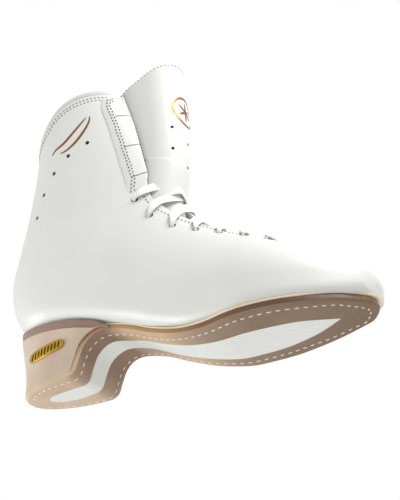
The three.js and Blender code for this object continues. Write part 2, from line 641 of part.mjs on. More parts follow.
const outsole = outsoleSheet.intersect(outsolePlan)
  .subtract(inlayPlan(GAP).intersect(under(inlayTopClear)));
add('outsole', toGeometry(outsole), TAN, 0.55);
const inlay = inlayPlan(0).intersect(under(inlayTop)).subtract(under(soleLine));
add('outsole_inlay', toGeometry(inlay), 0xe6e0d6, 0.5);

const weltStrip = across([...weltBase, ...weltTop.slice().reverse()]);
const welt = weltStrip.intersect(upwards(soleOutlinePoints(0.6, WELT_START + 1), -20, 90))
  .subtract(upwards(soleOutlinePoints(WELT_WIDTH, WELT_START - 20), -20, 90));
add('welt', toGeometry(welt), 0xe8dcc4, 0.6);

// The heel block is a little wider and longer at its top, and its back is slightly hollow.
function heelForm(grow) {
  const levels = [[0, 0, 0], [14, 0.6, 0], [28, -0.6, 1.2], [HEEL_BACK_HEIGHT + 12, -4.2, 3]];
  return toSolid(loft(levels.map(([z, back, wider]) => {
    const rear = heelOutline(back - grow, HEEL_BASE_LENGTH - 2 - back + grow,
      HEEL_BASE_HALF_WIDTH + wider + grow);
    const half = HEEL_BASE_HALF_WIDTH + wider + grow;
    return [...rear, [100, half], [100, -half]].map(([x, y]) => new THREE.Vector3(x, y, z));
  })));
}
const blockTop = seatLine.map(([x, z]) => [x, z - HEEL_SEAT_HEIGHT - GAP])
  .concat([[X(76), Z(76, 28.5)], [X(110), Z(110, 13)]]);
const overOutsole = under(raised(soleLine, SOLE_THICKNESS + GAP + 0.1));
const heelBlock = heelForm(0).intersect(under(blockTop)).subtract(overOutsole)
  .intersect(boxSolid([-FAR, -FAR, -FAR], [WELT_START - 1, FAR, FAR])).subtract(screwHoles);
add('heel_block', toGeometry(heelBlock), TAN, 0.35);
const seatTop = shifted(lineA, -GAP);
const seatBand = heelForm(-0.9).intersect(under(seatTop)).subtract(under(shifted(blockTop, GAP)))
  .subtract(overOutsole).subtract(shankStrip(GAP)).subtract(screwHoles)
  .intersect(boxSolid([-FAR, -FAR, -FAR], [WELT_START - 2, FAR, FAR]));
add('heel_seat', toGeometry(seatBand), DARK_TAN, 0.6);

const BADGE_CENTRE = [30.5, 23.5];
const BADGE_TILT = 0.11;
const badgeCorners = [[-1, -1], [1, -1], [1, 1], [-1, 1]].map(([i, k]) => {
  const x = i * BADGE_LENGTH / 2;
  const z = k * BADGE_HEIGHT / 2;
  return [BADGE_CENTRE[0] + x * Math.cos(BADGE_TILT) - z * Math.sin(BADGE_TILT),
    BADGE_CENTRE[1] + x * Math.sin(BADGE_TILT) + z * Math.cos(BADGE_TILT)];
});
const badge = heelForm(GAP + 0.9).subtract(heelForm(GAP)).intersect(across(badgeCorners))
  .intersect(boxSolid([-FAR, -FAR, -FAR], [FAR, 0, FAR]));
add('heel_badge', toGeometry(badge), 0xc9a24a, 0.3, 1);

heelScrews.forEach(({ x, y, head, middle }, i) => {
  const shaft = rod(new THREE.Vector3(x, y, middle), UP, SCREW_RADIUS, SCREW_LENGTH + 1, 10);
  const top = rod(new THREE.Vector3(x, y, head - HEAD_HEIGHT / 2), UP, SCREW_HEAD_RADIUS, HEAD_HEIGHT, 10);
  add(`heel_screw_${i + 1}`, toGeometry(shaft.add(top)), STEEL, 0.4, 1);
});

// ---------------------------------------------------------------- eyelets and hooks
const sideName = (side) => (side < 0 ? 'lateral' : 'medial');
eyelets.forEach((e) => {
  const mesh = add(`eyelet_${sideName(e.side)}_${e.row + 1}`, eyeletGeometry(), STEEL, 0.35, 1);
  mesh.quaternion.setFromUnitVectors(new THREE.Vector3(0, 1, 0), e.normal);
  mesh.position.copy(e.at).addScaledVector(e.normal, -0.5);
});

// A thin piece lying on the facing, from station s0 to s1 and from y0 to y1 beyond the gap's edge.
function facingPiece(side, s0, s1, y0, y1, low, high, rows = 4, columns = 4) {
  const grid = (lift) => {
    const list = [];
    for (let i = 0; i <= rows; i += 1) {
      const s = THREE.MathUtils.lerp(s0, s1, i / rows);
      const row = [];
      for (let j = 0; j <= columns; j += 1) {
        const y = facingY(s, THREE.MathUtils.lerp(y0, y1, j / columns));
        row.push(frontPoint(s, side * y, -lift));
      }
      list.push(row);
    }
    return list;
  };
  return block(grid(high), grid(low));
}

// Heights on the facing's edge where the tabs meet, from the lowest tab's lower edge up.
const tabHeights = [136, 162, 188, 207];
const TAB_SLIT = 0.1; // share of a station left open between two tabs
[-1, 1].forEach((side) => {
  for (let row = 0; row < HOOK_ROWS; row += 1) {
    const s0 = stationAt(tabHeights[row]);
    const s1 = stationAt(tabHeights[row + 1]) - TAB_SLIT;
    const hookLow = GAP + 0.2;
    const tabLow = hookLow + HOOK_THICKNESS + GAP;
    add(`hook_${sideName(side)}_${row + 1}`,
      facingPiece(side, s0 + 0.2, s0 + 0.6, 2, 9, hookLow, hookLow + HOOK_THICKNESS, 1, 2), STEEL, 0.3, 1);
    add(`hook_tab_${sideName(side)}_${row + 1}`,
      facingPiece(side, s0, s1, 0.6, TAB_WIDTH, tabLow, tabLow + TAB_THICKNESS, 3, 3), WHITE_LEATHER, 0.45);
  }
});

// ---------------------------------------------------------------- tongue
const TONGUE_TOE = 4.6; // station of the tongue's sewn-in end
const TONGUE_BEND = 13.6; // station where the lower tongue ends at the ankle bend
const WING = 14; // how far the tongue reaches under each facing
function tonguePatch(low, high) {
  const rows = 10;
  const columns = 8;
  const grid = (d) => {
    const list = [];
    for (let i = 0; i <= rows; i += 1) {
      const s = THREE.MathUtils.lerp(TONGUE_TOE, TONGUE_BEND, i / rows);
      const reach = facingY(s, WING);
      const row = [];
      for (let j = 0; j <= columns; j += 1) {
        const y = reach * Math.sin((j / columns - 0.5) * Math.PI);
        row.push(frontPoint(s, y, d));
      }
      list.push(row);
    }
    return list;
  };
  return block(grid(low), grid(high));
}
add('tongue_lower_cover', tonguePatch(TONGUE_TOP_LAYER, TONGUE_TOP_LAYER + TONGUE_COVER), WHITE_LEATHER, 0.5);
add('tongue_lower_padding', tonguePatch(TONGUE_TOP_LAYER + TONGUE_COVER + GAP,
  TONGUE_TOP_LAYER + TONGUE_COVER + GAP + TONGUE_PAD), 0xdcd6ca, 0.95);

// The standing tongue: a U-shaped shell that is narrower than the gap between the facings.
const BEND_FRONT = [129.5, 134]; // the bottom of its front, X and Z
const BEND_TILT = -0.24; // its lower edge rises towards the back
const TOP_TILT = 0.42; // its top edge falls towards the back
const tongueHalf = SHAFT_HALF_GAP - TONGUE_SIDE_CLEARANCE;
function tongueRing(u, d0, d1) {
  const z = THREE.MathUtils.lerp(BEND_FRONT[1], TONGUE_TOP, u);
  const front = THREE.MathUtils.lerp(BEND_FRONT[0], TONGUE_FRONT + 1, Math.min(1, u * 4)) - 2 * u * u;
  const rear = THREE.MathUtils.lerp(104, 84, u);
  const tilt = THREE.MathUtils.lerp(BEND_TILT, TOP_TILT, THREE.MathUtils.smoothstep(u, 0, 1));
  const steps = 6;
  const round = 17;
  const arc = (d) => {
    const half = tongueHalf - d;
    const r = round - d;
    const list = [[rear, -half], [(rear + front - d - r) / 2, -half]];
    for (let k = 0; k <= steps; k += 1) {
      const a = -Math.PI / 2 + (k / steps) * Math.PI;
      list.push([front - d - r + r * Math.cos(a), Math.sin(a) * half]);
    }
    list.push([(rear + front - d - r) / 2, half], [rear, half]);
    return list;
  };
  return [...arc(d0), ...arc(d1).reverse()].map(([x, y]) => new THREE.Vector3(x, y, z + (x - front) * tilt));
}
function tongueSolid(d0, d1) {
  const outer = [];
  const inner = [];
  for (let k = 0; k <= 8; k += 1) {
    const ring = tongueRing(k / 8, d0, d1);
    const n = ring.length / 2;
    outer.push(ring.slice(0, n));
    inner.push(ring.slice(n).reverse());
  }
  return block(outer, inner);
}
add('tongue_upper_cover', tongueSolid(0, TONGUE_COVER), WHITE_LEATHER, 0.5);
add('tongue_upper_padding', tongueSolid(TONGUE_COVER + GAP, TONGUE_COVER + GAP + TONGUE_PAD), 0xdcd6ca, 0.95);

const EMBLEM_THICKNESS = 0.7;
const EMBLEM_HALF_WIDTH = 15;
const EMBLEM_HALF_HEIGHT = 13;
const emblemCentre = new THREE.Vector3(TONGUE_FRONT, 0, 190);
const emblemShape = toSolid(tongueSolid(-GAP - EMBLEM_THICKNESS, -GAP));
const emblemOval = new THREE.CylinderGeometry(1, 1, 40, 16);
emblemOval.rotateZ(Math.PI / 2);
emblemOval.scale(1, EMBLEM_HALF_WIDTH, EMBLEM_HALF_HEIGHT);
emblemOval.translate(emblemCentre.x, emblemCentre.y, emblemCentre.z);
add('tongue_emblem', toGeometry(emblemShape.intersect(toSolid(emblemOval))), 0x9a6a42, 0.4, 0.6);

// ---------------------------------------------------------------- lace
const eyeletAt = (row, side) => eyelets.find((e) => e.row === row && e.side === side);
const LACE_OUT = 2.2; // the lace's centre over the skin
const laceDepth = (LINING_INSIDE + TONGUE_TOP_LAYER) / 2;
function intoEyelet(e) {
  return e.at.clone().addScaledVector(e.normal, -laceDepth * e.facing);
}
function outOfEyelet(e) {
  return e.at.clone().addScaledVector(e.normal, LACE_OUT);
}
// One half of the lace, from the bar across the toe end of the gap up to its tucked-in end.
// It goes into the first eyelet from outside, and comes out of every later one.
function laceRun(start) {
  const rise = start < 0 ? -0.2 : 3.2; // depth where the two halves pass at the centre
  const first = eyeletAt(0, start);
  const edge = (s, side, out, depth) => frontPoint(s, side * (halfGap(s) + out), depth);
  const list = [edge(first.s, start, 1, -LACE_OUT), outOfEyelet(first), intoEyelet(first)];
  let side = start;
  for (let row = 0; row < EYELET_ROWS; row += 1) {
    const e = eyeletAt(row, side);
    const last = row + 1 === EYELET_ROWS;
    const reach = last ? 1.1 : eyeletAt(row + 1, -side).s - e.s;
    if (row > 0) list.push(outOfEyelet(e));
    const under = row === 0;
    list.push(edge(e.s + reach * 0.2, side, under ? -1 : 1, under ? laceDepth : -LACE_OUT));
    list.push(frontPoint(e.s + reach * 0.5, side * 0.01, last ? 0 : rise));
    const rising = e.s + reach * 0.64;
    list.push(frontPoint(rising, -side * halfGap(rising) * 0.5, rise * 0.6 + 1.6));
    list.push(edge(e.s + reach * 0.8, -side, -1, laceDepth));
    if (last) list.push(edge(e.s + reach * 1.4, -side, 5, laceDepth));
    else list.push(intoEyelet(eyeletAt(row + 1, -side)));
    side = -side;
  }
  return list;
}
function lacePoints() {
  const bar = frontPoint(eyeletAt(0, 1).s, 0.01, -LACE_OUT);
  return [...laceRun(-1).reverse(), bar, ...laceRun(1)];
}

function tube(points, radius, sides) {
  const tangents = points.map((p, i) => {
    const a = points[Math.max(i - 1, 0)];
    const b = points[Math.min(i + 1, points.length - 1)];
    const into = p.clone().sub(a).normalize();
    const out = b.clone().sub(p).normalize();
    return into.add(out).normalize();
  });
  let across0 = new THREE.Vector3(0, 0, 1).cross(tangents[0]).normalize();
  const rings = points.map((p, i) => {
    across0 = across0.clone().sub(tangents[i].clone().multiplyScalar(across0.dot(tangents[i]))).normalize();
    const across1 = tangents[i].clone().cross(across0);
    const ring = [];
    for (let k = 0; k < sides; k += 1) {
      const a = (k / sides) * 2 * Math.PI;
      ring.push(p.clone().addScaledVector(across0, radius * Math.cos(a))
        .addScaledVector(across1, radius * Math.sin(a)));
    }
    return ring;
  });
  return loft(rings);
}
add('lace', tube(lacePoints(), LACE_RADIUS, 8), 0xf5f4f0, 0.8);

export default boot;
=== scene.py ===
"""White figure-skate boot, right foot, without its blade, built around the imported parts."""
import math

import bmesh
import bpy
import numpy as np
from bpy.props import FloatProperty, FloatVectorProperty, PointerProperty
from mathutils import Matrix, Vector
from mathutils.bvhtree import BVHTree


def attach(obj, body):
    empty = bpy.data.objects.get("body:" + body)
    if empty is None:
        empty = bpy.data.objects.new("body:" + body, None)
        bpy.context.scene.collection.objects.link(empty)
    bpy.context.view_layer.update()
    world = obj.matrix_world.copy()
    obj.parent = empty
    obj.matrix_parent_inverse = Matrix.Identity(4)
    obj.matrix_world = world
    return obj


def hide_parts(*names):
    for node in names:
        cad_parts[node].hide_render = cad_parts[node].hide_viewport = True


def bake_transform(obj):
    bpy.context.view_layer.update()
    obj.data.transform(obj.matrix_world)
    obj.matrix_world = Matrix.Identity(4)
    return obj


bl_info = {
    "name": "Figure-skate boot",
    "version": (1, 0, 0),
    "blender": (4, 5, 0),
    "location": "View3D > Sidebar > Boot",
    "description": "Builds the leather, padding, lace, sole and heel of a figure-skate boot",
    "category": "Object",
}

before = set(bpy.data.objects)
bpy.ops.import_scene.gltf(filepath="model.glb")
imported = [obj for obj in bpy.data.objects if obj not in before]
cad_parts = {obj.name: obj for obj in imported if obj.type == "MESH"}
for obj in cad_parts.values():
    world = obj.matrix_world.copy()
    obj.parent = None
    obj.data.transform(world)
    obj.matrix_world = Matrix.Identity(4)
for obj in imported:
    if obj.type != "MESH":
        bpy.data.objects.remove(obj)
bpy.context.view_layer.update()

MM = 0.001
HEEL_FACE_CENTRE = 26.0  # the frame's origin, measured from the back of the heel base


def linear(code):
    """An sRGB hex colour as linear red, green and blue."""
    parts = [int(code[i:i + 2], 16) / 255 for i in (0, 2, 4)]
    return tuple(p / 12.92 if p <= 0.04045 else ((p + 0.055) / 1.055) ** 2.4 for p in parts)


# ---------------------------------------------------------------- curves and lines, in mm
def catmull(points, t, reach=True):
    """Points on the smooth curve through points, at t counted in points."""
    p = np.asarray(points, float)
    first, last = (2 * p[0] - p[1], 2 * p[-1] - p[-2]) if reach else (p[0], p[-1])
    e = np.vstack([first, p, last])
    t = np.clip(np.asarray(t, float), 0, len(p) - 1)
    i = np.minimum(t.astype(int), len(p) - 2)
    u = np.asarray(t - i)[..., None]
    a, b, c, d = e[i], e[i + 1], e[i + 2], e[i + 3]
    return 0.5 * (2 * b + (c - a) * u + (2 * a - 5 * b + 4 * c - d) * u ** 2
                  + (3 * b - a - 3 * c + d) * u ** 3)


def dense(points, steps=12, reach=False):
    return catmull(points, np.linspace(0, len(points) - 1, (len(points) - 1) * steps + 1), reach)


def smoothstep(x, low, high):
    u = np.clip((np.asarray(x, float) - low) / (high - low), 0, 1)
    return u * u * (3 - 2 * u)


def units(vectors):
    return vectors / np.linalg.norm(vectors, axis=1)[:, None]


def left_of(line):
    """Unit directions to the left of a line in a plane."""
    tangent = units(np.gradient(line, axis=0))
    return np.stack([-tangent[:, 1], tangent[:, 0]], 1)


def raised(line, distance):
    """The line moved along its own normal, upwards."""
    return line + distance * left_of(line)


def even(points, shares):
    """Points at the given shares of a polyline's length."""
    steps = np.linalg.norm(np.diff(points, axis=0), axis=1)
    walked = np.concatenate([[0], np.cumsum(steps)])
    at = np.asarray(shares) * walked[-1]
    return np.stack([np.interp(at, walked, points[:, k]) for k in range(points.shape[1])], 1)


SOLE_THICKNESS = 4.5
WELT_THICKNESS = 1.2
CLEARANCE = 0.3
WELT_START = 80.0
BREAST = [(49, 0), (53, 2.5), (56, 10), (60, 18.5), (67, 24.2), (76, 25.6)]
WAIST = [(92, 21.5), (110, 13), (130, 5.4), (150, 1.6), (167, 1.5)]
TOE_SPRING = [(185, 1.5), (210, 2.2), (235, 5), (257, 9.2)]
SOLE_LINE = np.vstack([[(-12, 0), (20, 0)], dense(BREAST + WAIST), dense(TOE_SPRING)])
SEAT_LINE = np.array([(-24, 50.5), (-4, 48), (12, 45.4), (28, 43.4), (44, 41.4), (56, 39), (66, 36.4)])
OVER_SOLE = raised(SOLE_LINE, SOLE_THICKNESS + WELT_THICKNESS + 2 * CLEARANCE)
UNDER_UPPER = np.vstack([SEAT_LINE, OVER_SOLE[OVER_SOLE[:, 0] > WELT_START]])
CUFF_LINE = dense([(-30, 181), (8, 181), (22, 184), (36, 192), (48, 200.5), (60, 205.5), (74, 208),
                   (88, 208), (110, 206), (160, 206)])


def height(line, x):
    return np.interp(x, line[:, 0], line[:, 1])


# ---------------------------------------------------------------- the upper's form
# Sole or back end x and z, front end x and z, centre, half width, widest share, end powers.
SECTIONS = np.array([
    (249, 18, 250.2, 26.5, 8.6, 9, 0.5, 2.4, 2.2), (247.4, 14.6, 248.6, 31, 8.4, 15.5, 0.45, 3, 2.2),
    (245, 12.4, 245, 35, 7.4, 20.5, 0.4, 4, 2.2), (236, 0, 235.5, 40, 4.2, 26.8, 0.38, 5, 2.2),
    (222, 0, 220.5, 46.5, 0.4, 32.8, 0.36, 6, 2.2), (203, 0, 202.5, 56, -2.4, 37.6, 0.34, 6, 2.15),
    (182, 0, 185, 65.5, -3, 40.2, 0.32, 6, 2.1), (160, 0, 168, 75, -2, 39.2, 0.32, 6, 2.05),
    (138, 0, 153, 85.5, -1, 36.6, 0.34, 6, 2), (114, 0, 140.5, 97, 0.4, 34.4, 0.36, 5.5, 2),
    (90, 0, 132.5, 107.5, 1, 33.2, 0.38, 5, 2), (64, 0, 129, 115, 0.6, 32.8, 0.4, 4.6, 2),
    (36, 0, 127.4, 120.6, 0, 32.8, 0.42, 4, 2), (8, 0, 126.2, 125.6, 0, 33, 0.44, 3, 2),
    (-6, 59, 124.8, 130.4, 0, 33.2, 0.45, 2.4, 2), (-10.6, 81, 122.2, 137, 0, 33.4, 0.45, 2.2, 2),
    (-5, 104, 118.4, 147, 0, 33.6, 0.45, 2.1, 2.05), (3.6, 131, 113, 162, 0, 34.2, 0.45, 2.1, 2.1),
    (11, 160, 107, 180, 0, 35.2, 0.45, 2.1, 2.15), (14.5, 181, 101, 196, 0, 36.2, 0.45, 2.1, 2.2),
    (13.5, 203, 95.4, 213, 0, 36.8, 0.45, 2.1, 2.2), (12, 225, 89, 232, 0, 37.4, 0.45, 2.1, 2.2)])
LAST = len(SECTIONS) - 1
LAST_BOTTOM = 13
SKIN_SINK = 2.5
SECTIONS[3:LAST_BOTTOM + 1, 1] = height(UNDER_UPPER, SECTIONS[3:LAST_BOTTOM + 1, 0]) - SKIN_SINK
SMALLEST_HALF = 2.2
TOE_REACH = 34.0
THROAT = 5.6
ANKLE = 12.5
THROAT_ROUND = 0.45
THROAT_HALF_GAP = 9.0
SHAFT_HALF_GAP = 20.0


def section(s, d=0.0, extra=0.0):
    """One cross-section of the form, depth d inside the skin."""
    gx, gz, fx, fz, centre, half, widest, g_power, f_power = catmull(SECTIONS, s)
    half = max(half - d, SMALLEST_HALF)
    length = math.hypot(fx - gx, fz - gz)
    direction = np.array([(fx - gx) / length, (fz - gz) / length])
    on_sole = 1 - float(smoothstep(s, LAST_BOTTOM, LAST_BOTTOM + 1.2))
    at_sole = (d + extra * on_sole) * (1 + (1 / direction[1] - 1) * on_sole)
    to_toe = max(0.0, 1 - (SECTIONS[0, 2] - gx) / TOE_REACH)
    span = max(length - d - at_sole, 2 * SMALLEST_HALF)
    low = (length - d + at_sole - span) / 2
    return (gx, gz, direction, centre, half, low, low + span, low + span * widest, g_power, f_power,
            d * to_toe * to_toe)


def section_points(c, angle, side):
    gx, gz, direction, centre, half, low, high, mid, g_power, f_power, back = c
    angle = np.asarray(angle, float)
    front = angle > 0
    power = 2 / np.where(front, f_power, g_power)
    reach = np.where(front, high - mid, mid - low)
    y = centre + side * half * np.abs(np.cos(angle)) ** power
    q = mid + np.sign(angle) * reach * np.abs(np.sin(angle)) ** power
    return np.stack([gx + direction[0] * q - back, y, gz + direction[1] * q], -1)


def half_gap(s):
    return THROAT_HALF_GAP + (SHAFT_HALF_GAP - THROAT_HALF_GAP) * float(smoothstep(s, THROAT, ANKLE))


def front_point(s, y, d=0.0):
    c = section(s, d)
    side = -1 if y < 0 else 1
    share = min(max((abs(y) - side * c[3]) / c[4], 0), 1)
    return section_points(c, math.acos(share ** (c[9] / 2)), side)


def front_normal(s, y):
    p = front_point(s, y)
    along = front_point(s + 0.05, y) - p
    aside = front_point(s, y + 2) - front_point(s, y - 2)
    n = np.cross(along, aside)
    n /= np.linalg.norm(n)
    return -n if n[0] < 0 else n


def facing_y(s, distance):
    """Y at a distance along the skin from the facing's edge."""
    y = half_gap(s)
    walked, last = 0.0, front_point(s, y)
    while walked < distance:
        y += 0.25
        following = front_point(s, y)
        walked += np.linalg.norm(following - last)
        last = following
    return y


def station_at(z):
    low, high = THROAT, LAST
    for _ in range(24):
        s = (low + high) / 2
        if front_point(s, -half_gap(s))[2] < z:
            low = s
        else:
            high = s
    return low


def edge_angles(s, c):
    """Angles of the lateral and medial facing edges on one section."""
    t = min(max((s - THROAT) / THROAT_ROUND, 0), 1)
    gap = half_gap(s) * math.sqrt(1 - (1 - t) ** 2)
    middle = c[3] * (1 - t)
    angles = []
    for side in (-1, 1):
        share = min(max((gap + side * (middle - c[3])) / c[4], 0), 1)
        angles.append(math.acos(share ** (c[9] / 2)))
    return angles


def skin_rows(stations, shares, d=0.0, extra=0.0):
    """Rows of points on the form: share -1 is the lateral facing edge, 0 the sole or back, 1 medial."""
    rows = []
    for s in stations:
        c = section(s, d, extra)
        lateral, medial = edge_angles(s, c)
        row = np.empty((len(shares), 3))
        for side, angle in ((-1, lateral), (1, medial)):
            pick = shares * side >= 0
            line = section_points(c, np.linspace(-math.pi / 2, angle, 200), side)
            row[pick] = even(line, np.abs(shares[pick]))
        rows.append(row)
    return np.array(rows)


SHAFT_START = 16.0


def skin_grid(shares, d=0.0, extra=0.0, rise=0.0, low=None, shaft_rows=26):
    """A whole grid of the form from the toe up to the cuff line, rise above it."""
    if low is None:
        low = np.concatenate([np.linspace(0, 5.4, 34)[:-1], np.linspace(5.4, 6.3, 22)[:-1],
                              np.linspace(6.3, SHAFT_START, 62)])
    base = skin_rows(low, shares, d, extra)
    tops = np.linspace(SHAFT_START, LAST - 0.01, 90)
    outer = skin_rows(tops, shares)
    inner = outer if d == 0 else skin_rows(tops, shares, d, extra)
    columns = []
    for j in range(len(shares)):
        over = outer[:, j, 2] - height(CUFF_LINE, outer[:, j, 0]) - rise
        end = np.interp(0, over, tops)
        at = np.linspace(SHAFT_START, end, shaft_rows + 1)[1:]
        columns.append(np.stack([np.interp(at, tops, inner[:, j, k]) for k in range(3)], 1))
    return np.vstack([base, np.array(columns).transpose(1, 0, 2)])


# ---------------------------------------------------------------- mesh helpers
def place(points):
    """Boot millimetres to frame metres."""
    return (np.asarray(points, float) - (HEEL_FACE_CENTRE, 0, 0)) * MM


def only(obj):
    bpy.ops.object.select_all(action="DESELECT")
    obj.select_set(True)
    bpy.context.view_layer.objects.active = obj


def named(obj, name):
    obj.name = obj.data.name = name
    return obj


def grid_piece(name, points, toward=None):
    """A grid primitive shaped to rows of points, its faces turned away from or toward a direction."""
    rows, columns = points.shape[:2]
    bpy.ops.object.select_all(action="DESELECT")
    bpy.ops.mesh.primitive_grid_add(x_subdivisions=columns - 1, y_subdivisions=rows - 1, size=1)
    obj = named(bpy.context.object, name)
    mesh = obj.data
    flat = np.zeros(len(mesh.vertices) * 3)
    mesh.vertices.foreach_get("co", flat)
    flat = flat.reshape(-1, 3)
    order = np.lexsort((flat[:, 0].round(5), flat[:, 1].round(5)))
    shaped = np.empty_like(flat)
    shaped[order] = place(points.reshape(-1, 3))
    mesh.vertices.foreach_set("co", shaped.ravel())
    mesh.update()
    only(obj)
    bpy.ops.object.mode_set(mode="EDIT")
    bpy.ops.mesh.select_all(action="SELECT")
    bpy.ops.mesh.remove_doubles(threshold=1e-6)
    bpy.ops.mesh.dissolve_degenerate(threshold=1e-7)
    bpy.ops.object.mode_set(mode="OBJECT")
    centre = sum((f.center for f in mesh.polygons), Vector()) / len(mesh.polygons)
    lean = sum(f.area * f.normal.dot(Vector(toward) if toward else f.center - centre)
               for f in mesh.polygons)
    if lean < 0:
        bpy.ops.object.mode_set(mode="EDIT")
        bpy.ops.mesh.flip_normals()
        bpy.ops.object.mode_set(mode="OBJECT")
    return obj


def apply_all(obj):
    only(obj)
    for modifier in list(obj.modifiers):
        bpy.ops.object.modifier_apply(modifier=modifier.name)


def modify(obj, kind, **settings):
    modifier = obj.modifiers.new(kind.title(), kind)
    for key, value in settings.items():
        setattr(modifier, key, value)
    return modifier


def finish_smooth(obj, angle=40):
    only(obj)
    bpy.ops.object.shade_smooth_by_angle(angle=math.radians(angle))


def shell(name, points, thickness, toward=None, bevel=0.0, segments=2, angle=40, finishes=(),
          reshape=None):
    """A shaped grid given a wall inwards, and rounded edges. finishes: its face, its rim, its corners."""
    obj = grid_piece(name, points, toward)
    coat(obj, *finishes)
    modify(obj, "SOLIDIFY", thickness=thickness * MM, offset=-1, use_even_offset=False,
           material_offset_rim=1 if len(finishes) > 1 else 0)
    apply_all(obj)
    if reshape:
        reshape(obj)
    if bevel:
        modify(obj, "BEVEL", width=bevel * MM, segments=segments, limit_method="ANGLE",
               angle_limit=math.radians(50), material=len(finishes) - 1, harden_normals=False)
        apply_all(obj)
    finish_smooth(obj, angle)
    return obj


def mesh_piece(name, vertices, faces):
    """A piece in mesh code, used for soft goods and for what repeats."""
    mesh = bpy.data.meshes.new(name)
    mesh.from_pydata([tuple(v) for v in vertices], [], [tuple(f) for f in faces])
    mesh.validate()
    obj = bpy.data.objects.new(name, mesh)
    bpy.context.scene.collection.objects.link(obj)
    return obj


def turn_outwards(obj):
    mesh = bmesh.new()
    mesh.from_mesh(obj.data)
    bmesh.ops.remove_doubles(mesh, verts=mesh.verts, dist=2e-6)
    bmesh.ops.recalc_face_normals(mesh, faces=mesh.faces)
    if mesh.calc_volume(signed=True) < 0:
        bmesh.ops.reverse_faces(mesh, faces=mesh.faces)
    mesh.to_mesh(obj.data)
    mesh.free()


def block_piece(name, outer, inner, angle=50):
    """A closed soft piece between two grids of points."""
    rows, columns = outer.shape[:2]
    count = rows * columns
    faces = []
    for i in range(rows - 1):
        for j in range(columns - 1):
            a = i * columns + j
            faces.append((a, a + 1, a + columns + 1, a + columns))
            faces.append((count + a, count + a + columns, count + a + columns + 1, count + a + 1))
    rim = list(range(columns))
    rim += [i * columns + columns - 1 for i in range(1, rows)]
    rim += [(rows - 1) * columns + j for j in range(columns - 2, -1, -1)]
    rim += [i * columns for i in range(rows - 2, 0, -1)]
    for a, b in zip(rim, rim[1:] + rim[:1]):
        faces.append((b, a, count + a, count + b))
    obj = mesh_piece(name, place(np.vstack([outer.reshape(-1, 3), inner.reshape(-1, 3)])), faces)
    turn_outwards(obj)
    finish_smooth(obj, angle)
    return obj


def tube_piece(name, rings, angle=60):
    """A closed skin over rings of points, its ends closed."""
    rings = np.asarray(rings)
    count = rings.shape[1]
    faces = []
    for i in range(len(rings) - 1):
        for j in range(count):
            a, b = i * count + j, i * count + (j + 1) % count
            faces.append((a, b, b + count, a + count))
    faces.append(tuple(range(count))[::-1])
    faces.append(tuple(range((len(rings) - 1) * count, len(rings) * count)))
    obj = mesh_piece(name, place(rings.reshape(-1, 3)), faces)
    turn_outwards(obj)
    finish_smooth(obj, angle)
    return obj


def cut(obj, cutter):
    modify(obj, "BOOLEAN", object=cutter, operation="DIFFERENCE", solver="EXACT")
    apply_all(obj)
    bpy.data.objects.remove(cutter)


def rods(name, holes, sides=20):
    """Cylinders along each hole's normal, joined: holes are (centre, normal, radius, length) in mm."""
    bpy.ops.object.select_all(action="DESELECT")
    made = []
    for centre, normal, radius, length in holes:
        bpy.ops.mesh.primitive_cylinder_add(vertices=sides, radius=radius * MM, depth=length * MM)
        rod = bpy.context.object
        turn = Vector(normal).to_track_quat("Z", "Y").to_matrix().to_4x4()
        rod.data.transform(Matrix.Translation(Vector(place(centre))) @ turn)
        made.append(rod)
    for rod in made:
        rod.select_set(True)
    bpy.context.view_layer.objects.active = made[0]
    bpy.ops.object.join()
    return named(bpy.context.object, name)


def seeds(name, spots, length, width, tall):
    """Small low domes, one at each spot: spots are (centre, normal, along) in mm."""
    sides, vertices, faces = 8, [], []
    for centre, normal, along in spots:
        n = np.asarray(normal) / np.linalg.norm(normal)
        a = np.asarray(along) - np.dot(along, n) * n
        a /= np.linalg.norm(a)
        b = np.cross(n, a)
        start = len(vertices)
        for share, lift in ((1.0, -0.3), (1.0, 0.25), (0.62, 0.9)):
            for k in range(sides):
                t = 2 * math.pi * k / sides
                vertices.append(centre + a * math.cos(t) * share * length / 2
                                + b * math.sin(t) * share * width / 2 + n * lift * tall)
        for ring in range(2):
            for k in range(sides):
                p, q = start + ring * sides + k, start + ring * sides + (k + 1) % sides
                faces.append((p, q, q + sides, p + sides))
        faces.append(tuple(start + k for k in range(sides))[::-1])
        faces.append(tuple(start + 2 * sides + k for k in range(sides)))
    obj = mesh_piece(name, place(vertices), faces)
    turn_outwards(obj)
    finish_smooth(obj, 60)
    return obj


def strip(name, points, normals, width, tall, sides=10, angle=60, squareness=3.0, taper=True):
    """A flat band along points, its face toward normals. width and tall may vary along it."""
    p = np.asarray(points, float)
    n = np.asarray(normals, float)
    tangent = units(np.gradient(p, axis=0))
    width = np.broadcast_to(width, len(p)).astype(float)
    tall = np.broadcast_to(tall, len(p)).astype(float)
    if taper:
        ends = np.minimum(1, 0.35 + np.minimum(np.arange(len(p)), np.arange(len(p))[::-1]) / 3)
        width, tall = width * ends, tall * ends
    across = None
    rings = []
    for k in range(len(p)):
        wish = np.cross(tangent[k], n[k])
        weight = float(np.clip(np.linalg.norm(wish), 0, 1)) ** 2
        if across is None:
            across = wish / np.linalg.norm(wish)
        wish = wish / max(np.linalg.norm(wish), 1e-9)
        if wish @ across < 0 and weight < 0.5:
            weight = 0
        across = across * (1 - weight) + wish * weight
        across -= (across @ tangent[k]) * tangent[k]
        across /= np.linalg.norm(across)
        face = np.cross(across, tangent[k])
        t = np.linspace(0, 2 * math.pi, sides, endpoint=False) + math.pi / sides
        c = np.sign(np.cos(t)) * np.abs(np.cos(t)) ** (2 / squareness)
        v = np.sign(np.sin(t)) * np.abs(np.sin(t)) ** (2 / squareness)
        rings.append(p[k] + np.outer(c, across) * width[k] / 2 + np.outer(v, face) * tall[k] / 2)
    return tube_piece(name, rings, angle)


